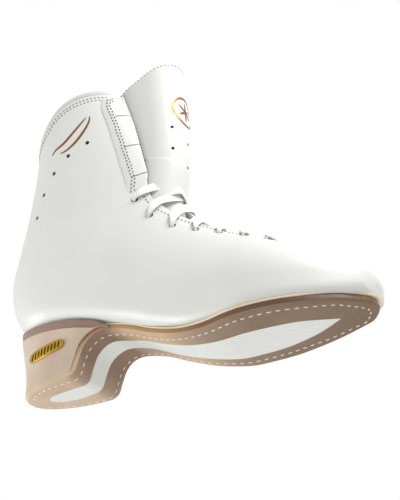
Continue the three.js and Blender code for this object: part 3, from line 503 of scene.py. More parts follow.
class Skin:
    """Finds places and normals on a grid of points, in boot millimetres."""

    def __init__(self, points):
        rows, columns = points.shape[:2]
        faces = [(i * columns + j, i * columns + j + 1, (i + 1) * columns + j + 1, (i + 1) * columns + j)
                 for i in range(rows - 1) for j in range(columns - 1)]
        self.tree = BVHTree.FromPolygons([tuple(p) for p in points.reshape(-1, 3)], faces)

    def ray(self, start, direction):
        place_, normal, _, _ = self.tree.ray_cast(Vector(start), Vector(direction))
        if place_ is None:
            return None
        normal = np.array(normal)
        if normal @ np.array(direction) > 0:
            normal = -normal
        return np.array(place_), normal

    def side(self, x, z, side):
        """The place on the boot's outside at x and z, seen from one side."""
        hit = self.ray((x, side * 150, z), (0, -side, 0))
        if hit is None:
            raise RuntimeError(f"no skin at x {x:.1f}, z {z:.1f}")
        return hit


def spaced(points, pitch):
    """Evenly spaced places along a polyline and the directions there."""
    p = np.asarray(points, float)
    total = np.linalg.norm(np.diff(p, axis=0), axis=1).sum()
    count = max(int(total / pitch), 2)
    shares = np.linspace(0, 1, count)
    at = even(p, shares)
    return at, np.gradient(even(p, shares), axis=0)


# ---------------------------------------------------------------- materials
def add_node(tree, kind, settings=None, inputs=None):
    """Adds a node, sets its properties, and sets or links its inputs by name or index."""
    made = tree.nodes.new(kind)
    for key, value in (settings or {}).items():
        setattr(made, key, value)
    for key, value in (inputs or {}).items():
        if isinstance(value, bpy.types.NodeSocket):
            tree.links.new(value, made.inputs[key])
        else:
            made.inputs[key].default_value = value
    return made


def new_material(name, colour, roughness, metallic=0.0, **sockets):
    material = bpy.data.materials.new(name)
    material.use_nodes = True
    tree = material.node_tree
    shader = tree.nodes["Principled BSDF"]
    shader.inputs["Base Color"].default_value = (*colour, 1)
    shader.inputs["Roughness"].default_value = roughness
    shader.inputs["Metallic"].default_value = metallic
    for key, value in sockets.items():
        shader.inputs[key.replace("_", " ").title().replace("Ior", "IOR")].default_value = value
    return material, tree, shader


def object_place(tree):
    return add_node(tree, "ShaderNodeTexCoord").outputs["Object"]


def noise(tree, vector, size_mm, detail=4.0):
    return add_node(tree, "ShaderNodeTexNoise",
                    inputs={"Vector": vector, "Scale": 1 / (size_mm * MM), "Detail": detail}).outputs[0]


def tint(tree, shader, place_, colour, shift, size_mm):
    """Lets the colour wander to shift over patches of size_mm."""
    patches = noise(tree, place_, size_mm, 3.0)
    ramp = add_node(tree, "ShaderNodeMapRange", inputs={0: patches, 1: 0.35, 2: 0.68})
    mix = add_node(tree, "ShaderNodeMix", {"data_type": "RGBA"},
                   {0: ramp.outputs[0], 6: (*colour, 1), 7: (*shift, 1)})
    tree.links.new(mix.outputs[2], shader.inputs["Base Color"])


def rough_range(tree, shader, place_, low, high, size_mm):
    patches = noise(tree, place_, size_mm)
    ramp = add_node(tree, "ShaderNodeMapRange", inputs={0: patches, 1: 0.3, 2: 0.7, 3: low, 4: high})
    tree.links.new(ramp.outputs[0], shader.inputs["Roughness"])


def bump(tree, shader, heights, strength, depth_mm):
    """Adds heights, pairs of an output and its share, as one bump."""
    total = None
    for output, share in heights:
        part = add_node(tree, "ShaderNodeMath", {"operation": "MULTIPLY"}, {0: output, 1: share})
        if total is not None:
            part = add_node(tree, "ShaderNodeMath", {"operation": "ADD"},
                            {0: total.outputs[0], 1: part.outputs[0]})
        total = part
    made = add_node(tree, "ShaderNodeBump", inputs={"Strength": strength, "Distance": depth_mm * MM,
                                                    "Height": total.outputs[0]})
    tree.links.new(made.outputs[0], shader.inputs["Normal"])


def leather(name, colour, shift, roughness, grain_mm, grain_depth, coat=0.0):
    """Tanned or coated hide: small rounded grain cells, faint creases, and patches of tone."""
    material, tree, shader = new_material(name, colour, roughness, coat_weight=coat, coat_roughness=0.3)
    place_ = object_place(tree)
    tint(tree, shader, place_, colour, shift, 38)
    rough_range(tree, shader, place_, roughness - 0.06, roughness + 0.08, 9)
    cells = add_node(tree, "ShaderNodeTexVoronoi", {"feature": "SMOOTH_F1"},
                     {"Vector": place_, "Scale": 1 / (grain_mm * MM)})
    creases = noise(tree, place_, 4.5 * grain_mm, 5.0)
    bump(tree, shader, [(cells.outputs["Distance"], 0.7), (creases, 0.6)], 0.5, grain_depth)
    return material


def along_foot(made, bands):
    """Puts bands of colour along the boot in place of a leather's own: X in the frame's mm, colour."""
    tree = made.node_tree
    mix = next(n for n in tree.nodes if n.type == "MIX")
    axes = add_node(tree, "ShaderNodeSeparateXYZ", inputs={0: object_place(tree)})
    start, end = bands[0][0], bands[-1][0]
    share = add_node(tree, "ShaderNodeMapRange", inputs={0: axes.outputs[0], 1: start * MM, 2: end * MM})
    ramp = add_node(tree, "ShaderNodeValToRGB", inputs={0: share.outputs[0]}).color_ramp
    for k, (x, code) in enumerate(bands):
        stop = ramp.elements[k] if k < 2 else ramp.elements.new(1.0)
        stop.position, stop.color = (x - start) / (end - start), (*linear(code), 1)
    tree.links.new(tree.nodes["Color Ramp"].outputs[0], mix.inputs[6])
    darker = add_node(tree, "ShaderNodeMix", {"data_type": "RGBA", "blend_type": "MULTIPLY"},
                      {0: 1.0, 6: tree.nodes["Color Ramp"].outputs[0], 7: (0.84, 0.82, 0.8, 1)})
    tree.links.new(darker.outputs[2], mix.inputs[7])
    return made


def woven(name, colour, shift, thread_mm, roughness):
    """Cloth: two crossing sets of threads, each thread a rounded ridge."""
    material, tree, shader = new_material(name, colour, roughness, sheen_weight=0.25)
    place_ = object_place(tree)
    tint(tree, shader, place_, colour, shift, 14)
    waves = []
    for direction in ("X", "Y"):
        waves.append(add_node(tree, "ShaderNodeTexWave", {"bands_direction": direction},
                              {"Vector": place_, "Scale": 0.5 / (thread_mm * MM) / math.pi,
                               "Distortion": 0.3, "Detail": 1.0}))
    bump(tree, shader, [(w.outputs["Fac"], 0.5) for w in waves], 0.6, thread_mm * 0.4)
    return material


STREAK_MM = 0.3


def metal(name, colour, roughness):
    """Bare or plated metal: fine lines left by drawing and tumbling."""
    material, tree, shader = new_material(name, colour, roughness, 1.0)
    place_ = object_place(tree)
    rough_range(tree, shader, place_, max(roughness - 0.08, 0.05), roughness + 0.1, 3)
    stretched = add_node(tree, "ShaderNodeMapping", inputs={"Vector": place_, "Scale": (1, 8, 1)})
    lines = noise(tree, stretched.outputs[0], 8 * STREAK_MM)
    bump(tree, shader, [(lines, 1.0)], 0.25, 0.05)
    return material


def plain(name, colour, shift, roughness, size_mm, depth_mm=0.05):
    """Moulded, pressed or painted surface: slight mottling and a fine matt texture."""
    material, tree, shader = new_material(name, colour, roughness)
    place_ = object_place(tree)
    tint(tree, shader, place_, colour, shift, size_mm * 6)
    bump(tree, shader, [(noise(tree, place_, size_mm, 5.0), 1.0)], 0.4, depth_mm)
    return material


def coat(obj, *materials):
    obj.data.materials.clear()
    for material in materials:
        obj.data.materials.append(material)


def colour_property(name, description, code):
    return FloatVectorProperty(name=name, description=description, subtype="COLOR", size=3, min=0, max=1,
                               default=linear(code))


def length_property(name, description, millimetres):
    return FloatProperty(name=name, description=description, default=millimetres * MM, min=0,
                         unit="LENGTH")


class BootColours(bpy.types.PropertyGroup):
    white: colour_property("White leather", "Colour of the upper and the tongue", "d8d9d4")
    collar: colour_property("Collar leather", "Colour of the padded collar", "cecfca")
    lining: colour_property("Lining", "Colour of the textile lining", "e6e3dc")
    lace: colour_property("Lace", "Colour of the woven lace", "e3e3df")
    arris: colour_property("Edge line", "Colour of the rounded corner of the sole's edge", "dcb27c")
    heel: colour_property("Heel cover", "Colour of the heel's leather cover", "cdb7a2")
    seat: colour_property("Heel seat", "Colour of the band over the heel", "94796a")
    thread: colour_property("Thread", "Colour of the sole's stitching thread", "eadfd3")
    brass: colour_property("Plate", "Colour of the plate on the heel", "c8a13c")
    copper: colour_property("Foil", "Colour of the foil marks", "a06a3e")


class BootSizes(bpy.types.PropertyGroup):
    lace_width: length_property("Lace width", "Width of the flat lace where it lies open", 7.0)
    lace_thickness: length_property("Lace thickness", "Thickness of the flat lace", 1.3)
    sole_stitch: length_property("Sole stitch", "Length of one stitch on the sole", 3.2)
    sole_stitch_pitch: length_property("Sole stitch pitch", "From one stitch on the sole to the next", 5.4)
    upper_stitch_pitch: length_property("Upper stitch pitch", "From one needle hole to the next", 2.7)
    vent_width: length_property("Vent hole", "Width of a ventilation hole in the upper", 3.2)


def colours():
    return bpy.context.scene.boot_colours


def millimetres(key):
    return getattr(bpy.context.scene.boot_sizes, key) / MM


def shade(colour, factor):
    return tuple(c * factor for c in colour)


SOLE_TAN, EDGE_TAN = linear("b39b88"), linear("8a6d56")  # under the colour bands
BUILT = {}  # materials and surfaces shared by the operators


def material(key):
    """The shared materials, each made on first use."""
    if key in BUILT:
        return BUILT[key]
    c = colours()
    makers = {
        # Coated microfibre leather, pressed against a smooth plate: even, softly glossy, almost no grain.
        "white": lambda: leather("coated_white_leather", c.white, shade(c.white, 0.965), 0.4, 0.9, 0.05,
                                 0.12),
        # The same leather round a thick edge, where stretching closes the grain.
        "tongue": lambda: leather("tongue_white_leather", c.white, shade(c.white, 0.975), 0.45, 1.0, 0.07,
                                  0.08),
        # Soft garment leather over foam: rounder grain, less gloss.
        "collar": lambda: leather("soft_collar_leather", c.collar, shade(c.collar, 0.94), 0.55, 1.1, 0.16),
        # Vegetable-tanned bend, buffed and dyed: fine pores. Its bands along the foot, paler on the heel and
        # the waist, darker between them and towards the toe, are partly the leather's own tone and partly
        # painted light and shade.
        "sole": lambda: along_foot(leather("bend_sole_leather", SOLE_TAN, shade(SOLE_TAN, 0.86), 0.5, 0.8,
                                           0.14),
                                   [(-26, "d3bda3"), (18, "c9b197"), (32, "8f745d"), (48, "846a54"),
                                    (62, "c3a688"), (92, "c9ac8b"), (122, "98806a"), (150, "856c54"),
                                    (215, "7c644c")]),
        # Its cut edge, waxed at the heel and waist, inked brown round the forefoot.
        "edge": lambda: along_foot(leather("burnished_sole_edge", EDGE_TAN, shade(EDGE_TAN, 0.8), 0.4, 0.7,
                                           0.08, 0.1),
                                   [(-26, "cdb698"), (20, "cdb698"), (42, "b89469"), (95, "b08c62"),
                                    (125, "765638"), (190, "553a26"), (215, "644729")]),
        "arris": lambda: leather("waxed_edge_line", c.arris, shade(c.arris, 0.85), 0.4, 0.7, 0.04, 0.1),
        # Lacquered leather cover glued round the stacked heel: smooth and glossy. Its wide patches of darker
        # tone are partly the cover's own tone and partly painted shade and reflection, standing for the
        # gloss.
        "heel": lambda: leather("lacquered_heel_cover", c.heel, shade(c.heel, 0.78), 0.3, 1.2, 0.04, 0.5),
        "seat": lambda: leather("dyed_heel_seat", c.seat, shade(c.seat, 0.82), 0.5, 0.8, 0.1),
        "welt": lambda: leather("cream_welt_leather", linear("eed9c0"), linear("dcc3a2"), 0.5, 0.8, 0.08),
        # Brushed microfibre textile: matt, dense and slightly woolly. Its threads are drawn coarse.
        "lining": lambda: woven("microfibre_lining", c.lining, shade(c.lining, 0.93), 0.7, 0.95),
        # Flat braided cotton and polyester. One thread is drawn for each pair.
        "lace": lambda: woven("braided_lace", c.lace, shade(c.lace, 0.95), 0.75, 0.8),
        "footbed": lambda: woven("footbed_cloth", linear("8f939a"), linear("7d8188"), 0.8, 0.95),
        "inlay": lambda: plain("pale_sole_inlay", linear("e0e1dc"), linear("dadbd5"), 0.45, 0.7),
        "thread": lambda: woven("waxed_sole_thread", c.thread, shade(c.thread, 0.85), 0.4, 0.6),
        # Dark grey dots on small raised domes stand for the needle holes: their darkness is painted shade of
        # the holes.
        "needle": lambda: plain("needle_hole_painted_shade", linear("64625e"), linear("4c4a47"), 0.7, 0.4),
        "dark": lambda: plain("hole_shadow", linear("1d1b1a"), linear("151312"), 0.8, 0.6),
        "steel": lambda: metal("nickel_plated_steel", linear("b9babc"), 0.32),
        # Barrels darkened to stand for the shade inside the holes, a painted shade: they read as dark holes
        # in the white leather.
        "eyelet": lambda: metal("eyelet_steel_painted_bore_shade", linear("4b4a48"), 0.35),
        "brass": lambda: metal("polished_gold_plate", c.brass, 0.25),
        "engraved": lambda: metal("darkened_plate_groove", shade(c.brass, 0.12), 0.5),
        "copper": lambda: metal("stamped_copper_foil", c.copper, 0.38),
        "board": lambda: plain("pressed_fibre_board", linear("c2ab88"), linear("ab9472"), 0.85, 0.6, 0.1),
        "stiffener": lambda: plain("thermoplastic_stiffener", linear("dad4c6"), linear("cfc8b8"), 0.7, 0.8),
        "foam": lambda: plain("open_cell_foam", linear("e2dac8"), linear("d5cbb6"), 0.95, 0.8, 0.2),
        "cork": lambda: plain("ground_cork", linear("a98258"), linear("7c5a38"), 0.9, 1.2, 0.2),
    }
    BUILT[key] = makers[key]()
    return BUILT[key]


# ---------------------------------------------------------------- where things lie on the upper
SHARES = np.linspace(-1, 1, 97)
EYELET_HEIGHTS = [61.5, 69.5, 78, 87, 96.5, 107.5, 121]
EYELET_INSET = 11.0
LINING_INSIDE = 6.0
INSOLE_EXTRA = 1.2
UPPER_WALL = 1.9
EYELET_HOLE = 2.3  # the radius cut for an eyelet
LINING_OUTSIDE = 2.05
FOOTBED_THICKNESS = 2.8
NEEDLE_LENGTH, NEEDLE_HEIGHT = 1.5, 0.3
VENT_PLACES = [(70.9, 168.5), (55.6, 162.5), (42.7, 153), (32.4, 140.1), (25.5, 124.5)]


def upper_grid():
    if "upper_grid" not in BUILT:
        BUILT["upper_grid"] = skin_grid(SHARES)
    return BUILT["upper_grid"]


def skin():
    if "skin" not in BUILT:
        BUILT["skin"] = Skin(upper_grid())
    return BUILT["skin"]


def eyelets():
    """Each eyelet's row, side, station, Y, place and normal."""
    if "eyelets" not in BUILT:
        found = []
        for row, z in enumerate(EYELET_HEIGHTS):
            s = station_at(z)
            y = facing_y(s, EYELET_INSET)
            for side in (-1, 1):
                found.append((row, side, s, side * y, front_point(s, side * y), front_normal(s, side * y)))
        BUILT["eyelets"] = found
    return BUILT["eyelets"]


def vents():
    return [skin().side(x, z, side) for x, z in VENT_PLACES for side in (-1, 1)]


class BootOperator(bpy.types.Operator):
    """Shared start of the boot's operators."""
    bl_options = {"REGISTER", "UNDO"}

    def execute(self, context):
        self.build()
        return {"FINISHED"}


class BOOT_OT_upper(BootOperator):
    """Builds the white outer skin, with its eyelet and ventilation holes"""
    bl_idname = "boot.upper"
    bl_label = "Upper"

    def build(self):
        grid = upper_grid()
        first = grid[0]
        centre = first.mean(0)
        cap = []
        for share in (0, 0.25, 0.5, 0.7, 0.86):
            ring = centre + (first - centre) * share
            ring[:, 0] += 0.9 * (1 - share * share)
            cap.append(ring)
        upper = shell("upper", np.vstack([np.array(cap), grid]), UPPER_WALL)
        holes = [(e[4], e[5], EYELET_HOLE, 7.0) for e in eyelets()]
        holes += [(p, n, millimetres("vent_width") / 2, 5.0) for p, n in vents()]
        cut(upper, rods("upper_holes", holes))
        finish_smooth(upper, 38)
        coat(upper, material("white"))
        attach(upper, "boot")
        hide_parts("upper_shell")
        # Dark discs behind the ventilation holes: painted shade, a dark sheet where the holes only hold
        # shade.
        discs = rods("vent_painted_shade", [(p - n * 1.3, n, 2.2, 0.5) for p, n in vents()])
        finish_smooth(discs, 30)
        coat(discs, material("dark"))
        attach(discs, "boot")


class BOOT_OT_lining(BootOperator):
    """Builds the textile lining and the removable footbed"""
    bl_idname = "boot.lining"
    bl_label = "Lining and footbed"

    def build(self):
        low = np.concatenate([np.linspace(1.2, 5.6, 26)[:-1], np.linspace(5.6, SHAFT_START, 48)])
        shares = SHARES[::2] * 0.995
        outer = skin_grid(shares, LINING_OUTSIDE, INSOLE_EXTRA, -14, low, 16)
        inner = skin_grid(shares, LINING_INSIDE, INSOLE_EXTRA, -14, low, 16)
        lining = block_piece("textile_lining", outer, inner)
        cut(lining, rods("lining_holes", [(e[4], e[5], EYELET_HOLE, 16.0) for e in eyelets()], 14))
        finish_smooth(lining, 50)
        coat(lining, material("lining"))
        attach(lining, "boot")
        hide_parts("lining")
        inside = Skin(inner)
        rows = []
        reach = np.cos(np.linspace(math.pi, 0, 44))
        back, front = 4.0, 236.0
        for x in (back + front) / 2 + (front - back) / 2 * reach:
            top = height(UNDER_UPPER, x) + 8.2
            centre = float(np.interp(x, [0, 60, 120, 180, 240], [0, 0, 0.5, -3, 6]))
            hits = [inside.ray((x, centre, top), (0, side, 0)) for side in (-1, 1)]
            if any(hit is None for hit in hits):
                continue
            low_y, high_y = hits[0][0][1] + 0.4, hits[1][0][1] - 0.4
            taper = min(1.0, 0.25 + 1.2 * math.sqrt(max(0.0, (x - back) * (front - x))) / 60)
            middle = (low_y + high_y) / 2
            half = (high_y - low_y) / 2 * taper
            across = np.linspace(-1, 1, 21)
            rows.append(np.stack([np.full(21, x), middle + across * half,
                                  top + 1.6 * np.abs(across) ** 4], 1))
        top_face = np.array(rows)
        footbed = block_piece("footbed_pad", top_face, top_face - (0, 0, FOOTBED_THICKNESS))
        coat(footbed, material("footbed"))
        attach(footbed, "boot")
        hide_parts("footbed")


class BOOT_OT_collar(BootOperator):
    """Builds the padded collar round the cuff"""
    bl_idname = "boot.collar"
    bl_label = "Collar"

    def build(self):
        profile = catmull([(2.1, -5), (1.6, -0.6), (0.6, 1.6), (0.7, 4.0), (2.6, 5.9), (5.4, 5.6),
                           (8.2, 2.6), (9.4, -2.5), (9.6, -8), (8.8, -14), (7.0, -18.6), (5.2, -19.4),
                           (3.4, -14), (2.3, -9)], np.linspace(0, 13, 40), False)
        shares = np.linspace(-0.992, 0.992, 101)
        tops = np.linspace(SHAFT_START - 1.2, LAST - 0.01, 70)
        outer = skin_rows(tops, shares)
        rings = []
        for j in range(len(shares)):
            column = outer[:, j]
            rise = column[:, 2] - height(CUFF_LINE, column[:, 0])
            along = np.gradient(column, axis=0)
            beside = outer[:, min(j + 1, len(shares) - 1)] - outer[:, max(j - 1, 0)]
            normal = np.cross(beside, along)
            normal /= np.linalg.norm(normal, axis=1)[:, None]
            normal *= np.sign(((column - (50, 0, 0)) * normal)[:, :2].sum())
            ease = min(1.0, 0.55 + 0.45 * math.sqrt(1 - abs(shares[j] / 0.992) ** 12))
            ring = []
            for depth, dz in profile:
                p = np.array([np.interp(dz, rise, column[:, k]) for k in range(3)])
                n = np.array([np.interp(dz, rise, normal[:, k]) for k in range(3)])
                ring.append(p - n * (2.2 + (depth - 2.2) * ease))
            rings.append(ring)
        collar = tube_piece("collar", rings, 70)
        coat(collar, material("collar"))
        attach(collar, "boot")
        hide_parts("collar_pad")


TONGUE_THICKNESS = 6.8
TONGUE_DEPTH = 13.0  # the lower tongue's middle, under the skin
TONGUE_WING = 10.0  # how far it reaches under each facing
TONGUE_BEND, TONGUE_TOP = 134, 229
TONGUE_SEAM_START = 46  # the first row of the tongue's grid with edge stitching
TONGUE_VENTS = [(-12.9, 171.5), (-12.9, 154), (0.3, 162), (0.3, 143.5), (12.9, 171.5), (12.9, 154)]


def tongue_rows():
    """The tongue's middle surface, from its sewn-in end under the throat to its top."""
    keys = []
    count = 41
    across = np.linspace(-1, 1, count)
    for s in (4.6, 6.0, 7.4, 8.8, 10.2, 11.4):
        c = section(s, TONGUE_DEPTH)
        row = np.empty((count, 3))
        for side in (-1, 1):
            line = section_points(c, np.linspace(math.pi / 2, 0.02, 200), side)
            length = np.linalg.norm(np.diff(line, axis=0), axis=1).sum()
            pick = across * side >= 0
            wing = min(1.0, (half_gap(s) + TONGUE_WING) / length)
            row[pick] = even(line, np.abs(across[pick]) * wing)
        keys.append(row)
    for u in (0.05, 0.12, 0.2, 0.32, 0.46, 0.6, 0.74, 0.87, 0.96, 1.0):
        z = TONGUE_BEND + (TONGUE_TOP - TONGUE_BEND) * u
        front = 129.5 + 3.5 * min(1, u * 4) - 2 * u * u - TONGUE_THICKNESS / 2
        rear = 104 - 20 * u
        tilt = -0.24 + (0.42 + 0.24) * float(smoothstep(u, 0, 1))
        half, turn = 18.5 - TONGUE_THICKNESS / 2, 17 - TONGUE_THICKNESS / 2
        angles = np.linspace(-math.pi / 2, math.pi / 2, 40)
        arc = [(rear, -half)] + [(front - turn + turn * math.cos(a), math.sin(a) * half) for a in angles]
        arc.append((rear, half))
        line = even(np.array(arc), (across + 1) / 2)
        corner = 1.0 - 0.1 * max(0.0, (u - 0.8) / 0.2)
        keys.append([(x, y * corner, z + (x - front) * tilt) for x, y in line])
    keys = np.array(keys)
    surface = catmull(keys.reshape(len(keys), -1), np.linspace(0, len(keys) - 1, 110), False)
    return surface.reshape(-1, count, 3)


def surface_normals(grid):
    n = np.cross(np.gradient(grid, axis=1), np.gradient(grid, axis=0))
    return n / np.linalg.norm(n, axis=2)[:, :, None]


class BOOT_OT_tongue(BootOperator):
    """Builds the padded tongue, which bends at the ankle, and its edge stitching"""
    bl_idname = "boot.tongue"
    bl_label = "Tongue"

    def build(self):
        middle = tongue_rows()
        normals = surface_normals(middle)
        rows, columns = middle.shape[:2]
        side = np.linspace(-1, 1, columns)[None, :]
        length = np.linspace(0, 1, rows)[:, None]
        puff = (1 - np.abs(side) ** 10) ** 0.5 * (1 - np.abs(2 * length - 1) ** 40) ** 0.5
        piping = 1 - 0.22 * np.exp(-((np.abs(side) - 0.86) / 0.035) ** 2)
        half = np.maximum(TONGUE_THICKNESS / 2 * puff * piping, 0.25)[:, :, None]
        outer, inner = middle + normals * half, middle - normals * half
        tongue = block_piece("tongue", outer, inner, 70)
        BUILT["tongue_skin"] = Skin(outer)
        vents_ = [BUILT["tongue_skin"].ray((200, y, z), (-1, 0, 0)) for y, z in TONGUE_VENTS]
        cut(tongue, rods("tongue_holes", [(p, n, 1.3, 4.0) for p, n in vents_], 16))
        finish_smooth(tongue, 60)
        coat(tongue, material("tongue"))
        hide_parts("tongue_lower_cover", "tongue_lower_padding", "tongue_upper_cover",
                    "tongue_upper_padding")
        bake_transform(tongue)
        # Dark discs behind the tongue's holes: painted shade inside the holes.
        discs = rods("tongue_vent_painted_shade", [(p - n * 0.9, n, 1.6, 0.4) for p, n in vents_], 16)
        coat(discs, material("dark"))
        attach(discs, "tongue")
        seam = slice(TONGUE_SEAM_START, -3)
        spots = []
        for where in ((seam, 3), (-4, slice(3, -3)), (seam, -4)):
            at, along = spaced(outer[where], millimetres("upper_stitch_pitch"))
            n = even(normals[where], np.linspace(0, 1, len(at)))
            spots += [(p, m, a) for p, m, a in zip(at, n, along)]
        dots = seeds("tongue_stitches", spots, NEEDLE_LENGTH, 0.8, NEEDLE_HEIGHT)
        coat(dots, material("needle"))
        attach(dots, "tongue")


# ---------------------------------------------------------------- facings, lace and their stitches
FACING_LOW = 126.0
FACING_HIGH = 205.5
FACING_TOP_WIDTH = 17.5
FACING_LOW_WIDTH = 13.5
FACING_LIFT = 2.0
SLIT_HEIGHTS = (136, 161, 187.5)
SLIT_LENGTH = 10.5


def facing_width(z):
    return float(np.interp(z, [FACING_LOW, FACING_HIGH - 8, FACING_HIGH],
                           [FACING_LOW_WIDTH, FACING_TOP_WIDTH, FACING_TOP_WIDTH - 3]))


def facing_lift(z):
    """How far the facing's face stands over the skin; it sinks into it at its lower end."""
    return 0.35 + (FACING_LIFT - 0.35) * float(smoothstep(z, FACING_LOW, FACING_LOW + 9))


def facing_place(s, distance, side, lift):
    return front_point(s, side * facing_y(s, distance), -lift)


class BOOT_OT_facings(BootOperator):
    """Builds the leather facings, slit into tabs, with the steel hooks that show in the slits"""
    bl_idname = "boot.facings"
    bl_label = "Facings and hooks"

    def build(self):
        stations = [station_at(z) for z in np.linspace(FACING_LOW, FACING_HIGH, 44)]
        for side, word in ((-1, "lateral"), (1, "medial")):
            rows = []
            for s, z in zip(stations, np.linspace(FACING_LOW, FACING_HIGH, 44)):
                lift, width = facing_lift(z), facing_width(z)
                edge = facing_place(s, 0, side, lift)
                row = [facing_place(s, d, side, lift - 1.5 * (d / width) ** 10) if d > 0
                       else edge - (0, side * 0.4, 0) for d in np.linspace(-0.4, width, 19)]
                rows.append(row)
            facing = shell(f"facing_{word}", np.array(rows), 1.8, toward=(0.7, 0.2 * side, 0.6),
                           bevel=0.6, segments=3)
            cutters = []
            for z in SLIT_HEIGHTS:
                s = station_at(z)
                n = front_normal(s, side * facing_y(s, 5))
                path = [facing_place(s, d, side, 1.0) for d in (-6, 2, 6, SLIT_LENGTH)]
                path[0] = path[1] - (path[2] - path[1]) * 1.6
                cutters.append(strip("slit", dense(path, 4), np.broadcast_to(n, (13, 3)), 1.0, 6.0,
                                     taper=False))
                start = facing_place(s + 0.02, 0.2, side, 1.1)
                inner = facing_place(s + 0.02, 5.5, side, 1.0)
                hook = strip(f"hook_lip_{word}_{SLIT_HEIGHTS.index(z) + 1}",
                             dense([start + (start - inner) * 0.12, start, inner], 4),
                             np.broadcast_to(n, (9, 3)), 3.4, 0.9, taper=False)
                coat(hook, material("steel"))
                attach(hook, "boot")
            only(cutters[0])
            for cutter in cutters:
                cutter.select_set(True)
            bpy.ops.object.join()
            cut(facing, bpy.context.object)
            finish_smooth(facing, 40)
            coat(facing, material("white"))
            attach(facing, "boot")
            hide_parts(*(f"hook_tab_{word}_{k}" for k in (1, 2, 3)))


LACE_OUT = 1.5  # the lace's middle over the skin
LACE_LAYER = 7.9  # its depth where it runs under the facings
LACE_PINCHED, LACE_GATHERED = 2.7, 1.6  # its width and thickness in an eyelet


def lace_run(start):
    """One half of the lace, from the bar at the toe end to its tucked-in end, with the skin's normals."""
    table = {(e[0], e[1]): e for e in eyelets()}
    thread = []

    def over(s, y, depth):
        y = y if abs(y) > 0.01 else 0.01 * (1 if y >= 0 else -1)
        thread.append((front_point(s, y, depth), front_normal(s, y)))

    def through(e, out):
        thread.append((e[4] + e[5] * out, e[5]))

    first = table[(0, start)]
    over(first[2], start * (half_gap(first[2]) + 1), -LACE_OUT)
    through(first, LACE_OUT)
    through(first, -LACE_LAYER * 0.9)
    side = start
    cross = 0.2 if start < 0 else 2.4
    for row in range(len(EYELET_HEIGHTS)):
        e = table[(row, side)]
        last = row + 1 == len(EYELET_HEIGHTS)
        reach = 1.1 if last else table[(row + 1, -side)][2] - e[2]
        if row:
            through(e, LACE_OUT)
        depth = LACE_LAYER if row == 0 else -LACE_OUT
        s = e[2] + reach * 0.2
        over(s, side * (half_gap(s) + (-1 if row == 0 else 1)), depth)
        s = e[2] + reach * 0.5
        over(s, side * 0.01, -1.0 if last else cross)
        s = e[2] + reach * 0.64
        over(s, -side * half_gap(s) * 0.5, cross * 0.6 + 1.2)
        s = e[2] + reach * 0.8
        over(s, -side * (half_gap(s) - 1), LACE_LAYER)
        if last:
            s = e[2] + reach * 1.4
            over(s, -side * (half_gap(s) + 5), LACE_LAYER)
        else:
            through(table[(row + 1, -side)], -LACE_LAYER * 0.9)
        side = -side
    return thread


class BOOT_OT_lace(BootOperator):
    """Builds the flat lace along its way through the eyelets"""
    bl_idname = "boot.lace"
    bl_label = "Lace"

    def build(self):
        first = eyelets()[0][2]
        bar = [(front_point(first, 0.01, -LACE_OUT), front_normal(first, 0.01))]
        run = lace_run(-1)[::-1] + bar + lace_run(1)
        points = dense([p for p, _ in run], 9)
        normals = units(dense([n for _, n in run], 9))
        tangent = units(np.gradient(points, axis=0))
        flat = np.linalg.norm(np.cross(tangent, normals), axis=1) ** 2
        nearest = np.min([np.linalg.norm(points - e[4], axis=1) for e in eyelets()], axis=0)
        open_ = flat * smoothstep(nearest, 2.0, 8.0)
        open_ = np.convolve(open_, np.ones(5) / 5, mode="same")
        width = LACE_PINCHED + (millimetres("lace_width") - LACE_PINCHED) * open_
        tall = LACE_GATHERED - (LACE_GATHERED - millimetres("lace_thickness")) * open_
        lace = strip("flat_lace", points, normals, width, tall, 14, 60, 3.4)
        coat(lace, material("lace"))
        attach(lace, "boot")
        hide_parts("lace")


class BOOT_OT_upper_stitches(BootOperator):
    """Builds the double rows of needle holes along the cuff and behind the facings"""
    bl_idname = "boot.upper_stitches"
    bl_label = "Upper stitching"

    def build(self):
        pitch = millimetres("upper_stitch_pitch")
        spots = []
        for drop in (2.6, 5.0):
            rows = skin_grid(np.linspace(-0.9, 0.9, 90), 0, 0, -drop, np.array([SHAFT_START - 1]), 2)
            line = rows[-1]
            at, along = spaced(line, pitch)
            for p, a in zip(at, along):
                outward = np.array([p[0] - 50, p[1], 0])
                hit = skin().ray(p + outward * 0.4, -outward)
                if hit:
                    spots.append((hit[0], hit[1], a))
        heights = np.linspace(FACING_LOW + 1, FACING_HIGH - 3, 30)
        for side in (-1, 1):
            for inset in (1.8, 4.1):
                line, normals = [], []
                for z in heights:
                    s = station_at(z)
                    distance = facing_width(z) - inset
                    line.append(facing_place(s, distance, side, facing_lift(z)))
                    normals.append(front_normal(s, side * facing_y(s, distance)))
                at, along = spaced(line, pitch)
                n = even(np.array(normals), np.linspace(0, 1, len(at)))
                spots += list(zip(at, n, along))
            for drop in (2.2, 4.6):
                z = FACING_HIGH - drop
                s = station_at(z)
                distances = np.linspace(1.6, facing_width(z) - 6, 12)
                line = np.array([facing_place(s, d, side, FACING_LIFT) for d in distances])
                at, along = spaced(line, pitch)
                spots += [(p, front_normal(s, p[1]), a) for p, a in zip(at, along)]
            low_line = [station_at(z) for z in np.linspace(60, 124, 16)]
            line = np.array([front_point(s, side * facing_y(s, 4.2)) for s in low_line])
            at, along = spaced(line, pitch)
            where = np.interp(np.linspace(0, 1, len(at)), np.linspace(0, 1, 16), low_line)
            for p, a, s in zip(at, along, where):
                spots.append((p, front_normal(s, p[1]), a))
        dots = seeds("upper_stitches", spots, NEEDLE_LENGTH, 0.9, NEEDLE_HEIGHT)
        coat(dots, material("needle"))
        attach(dots, "boot")


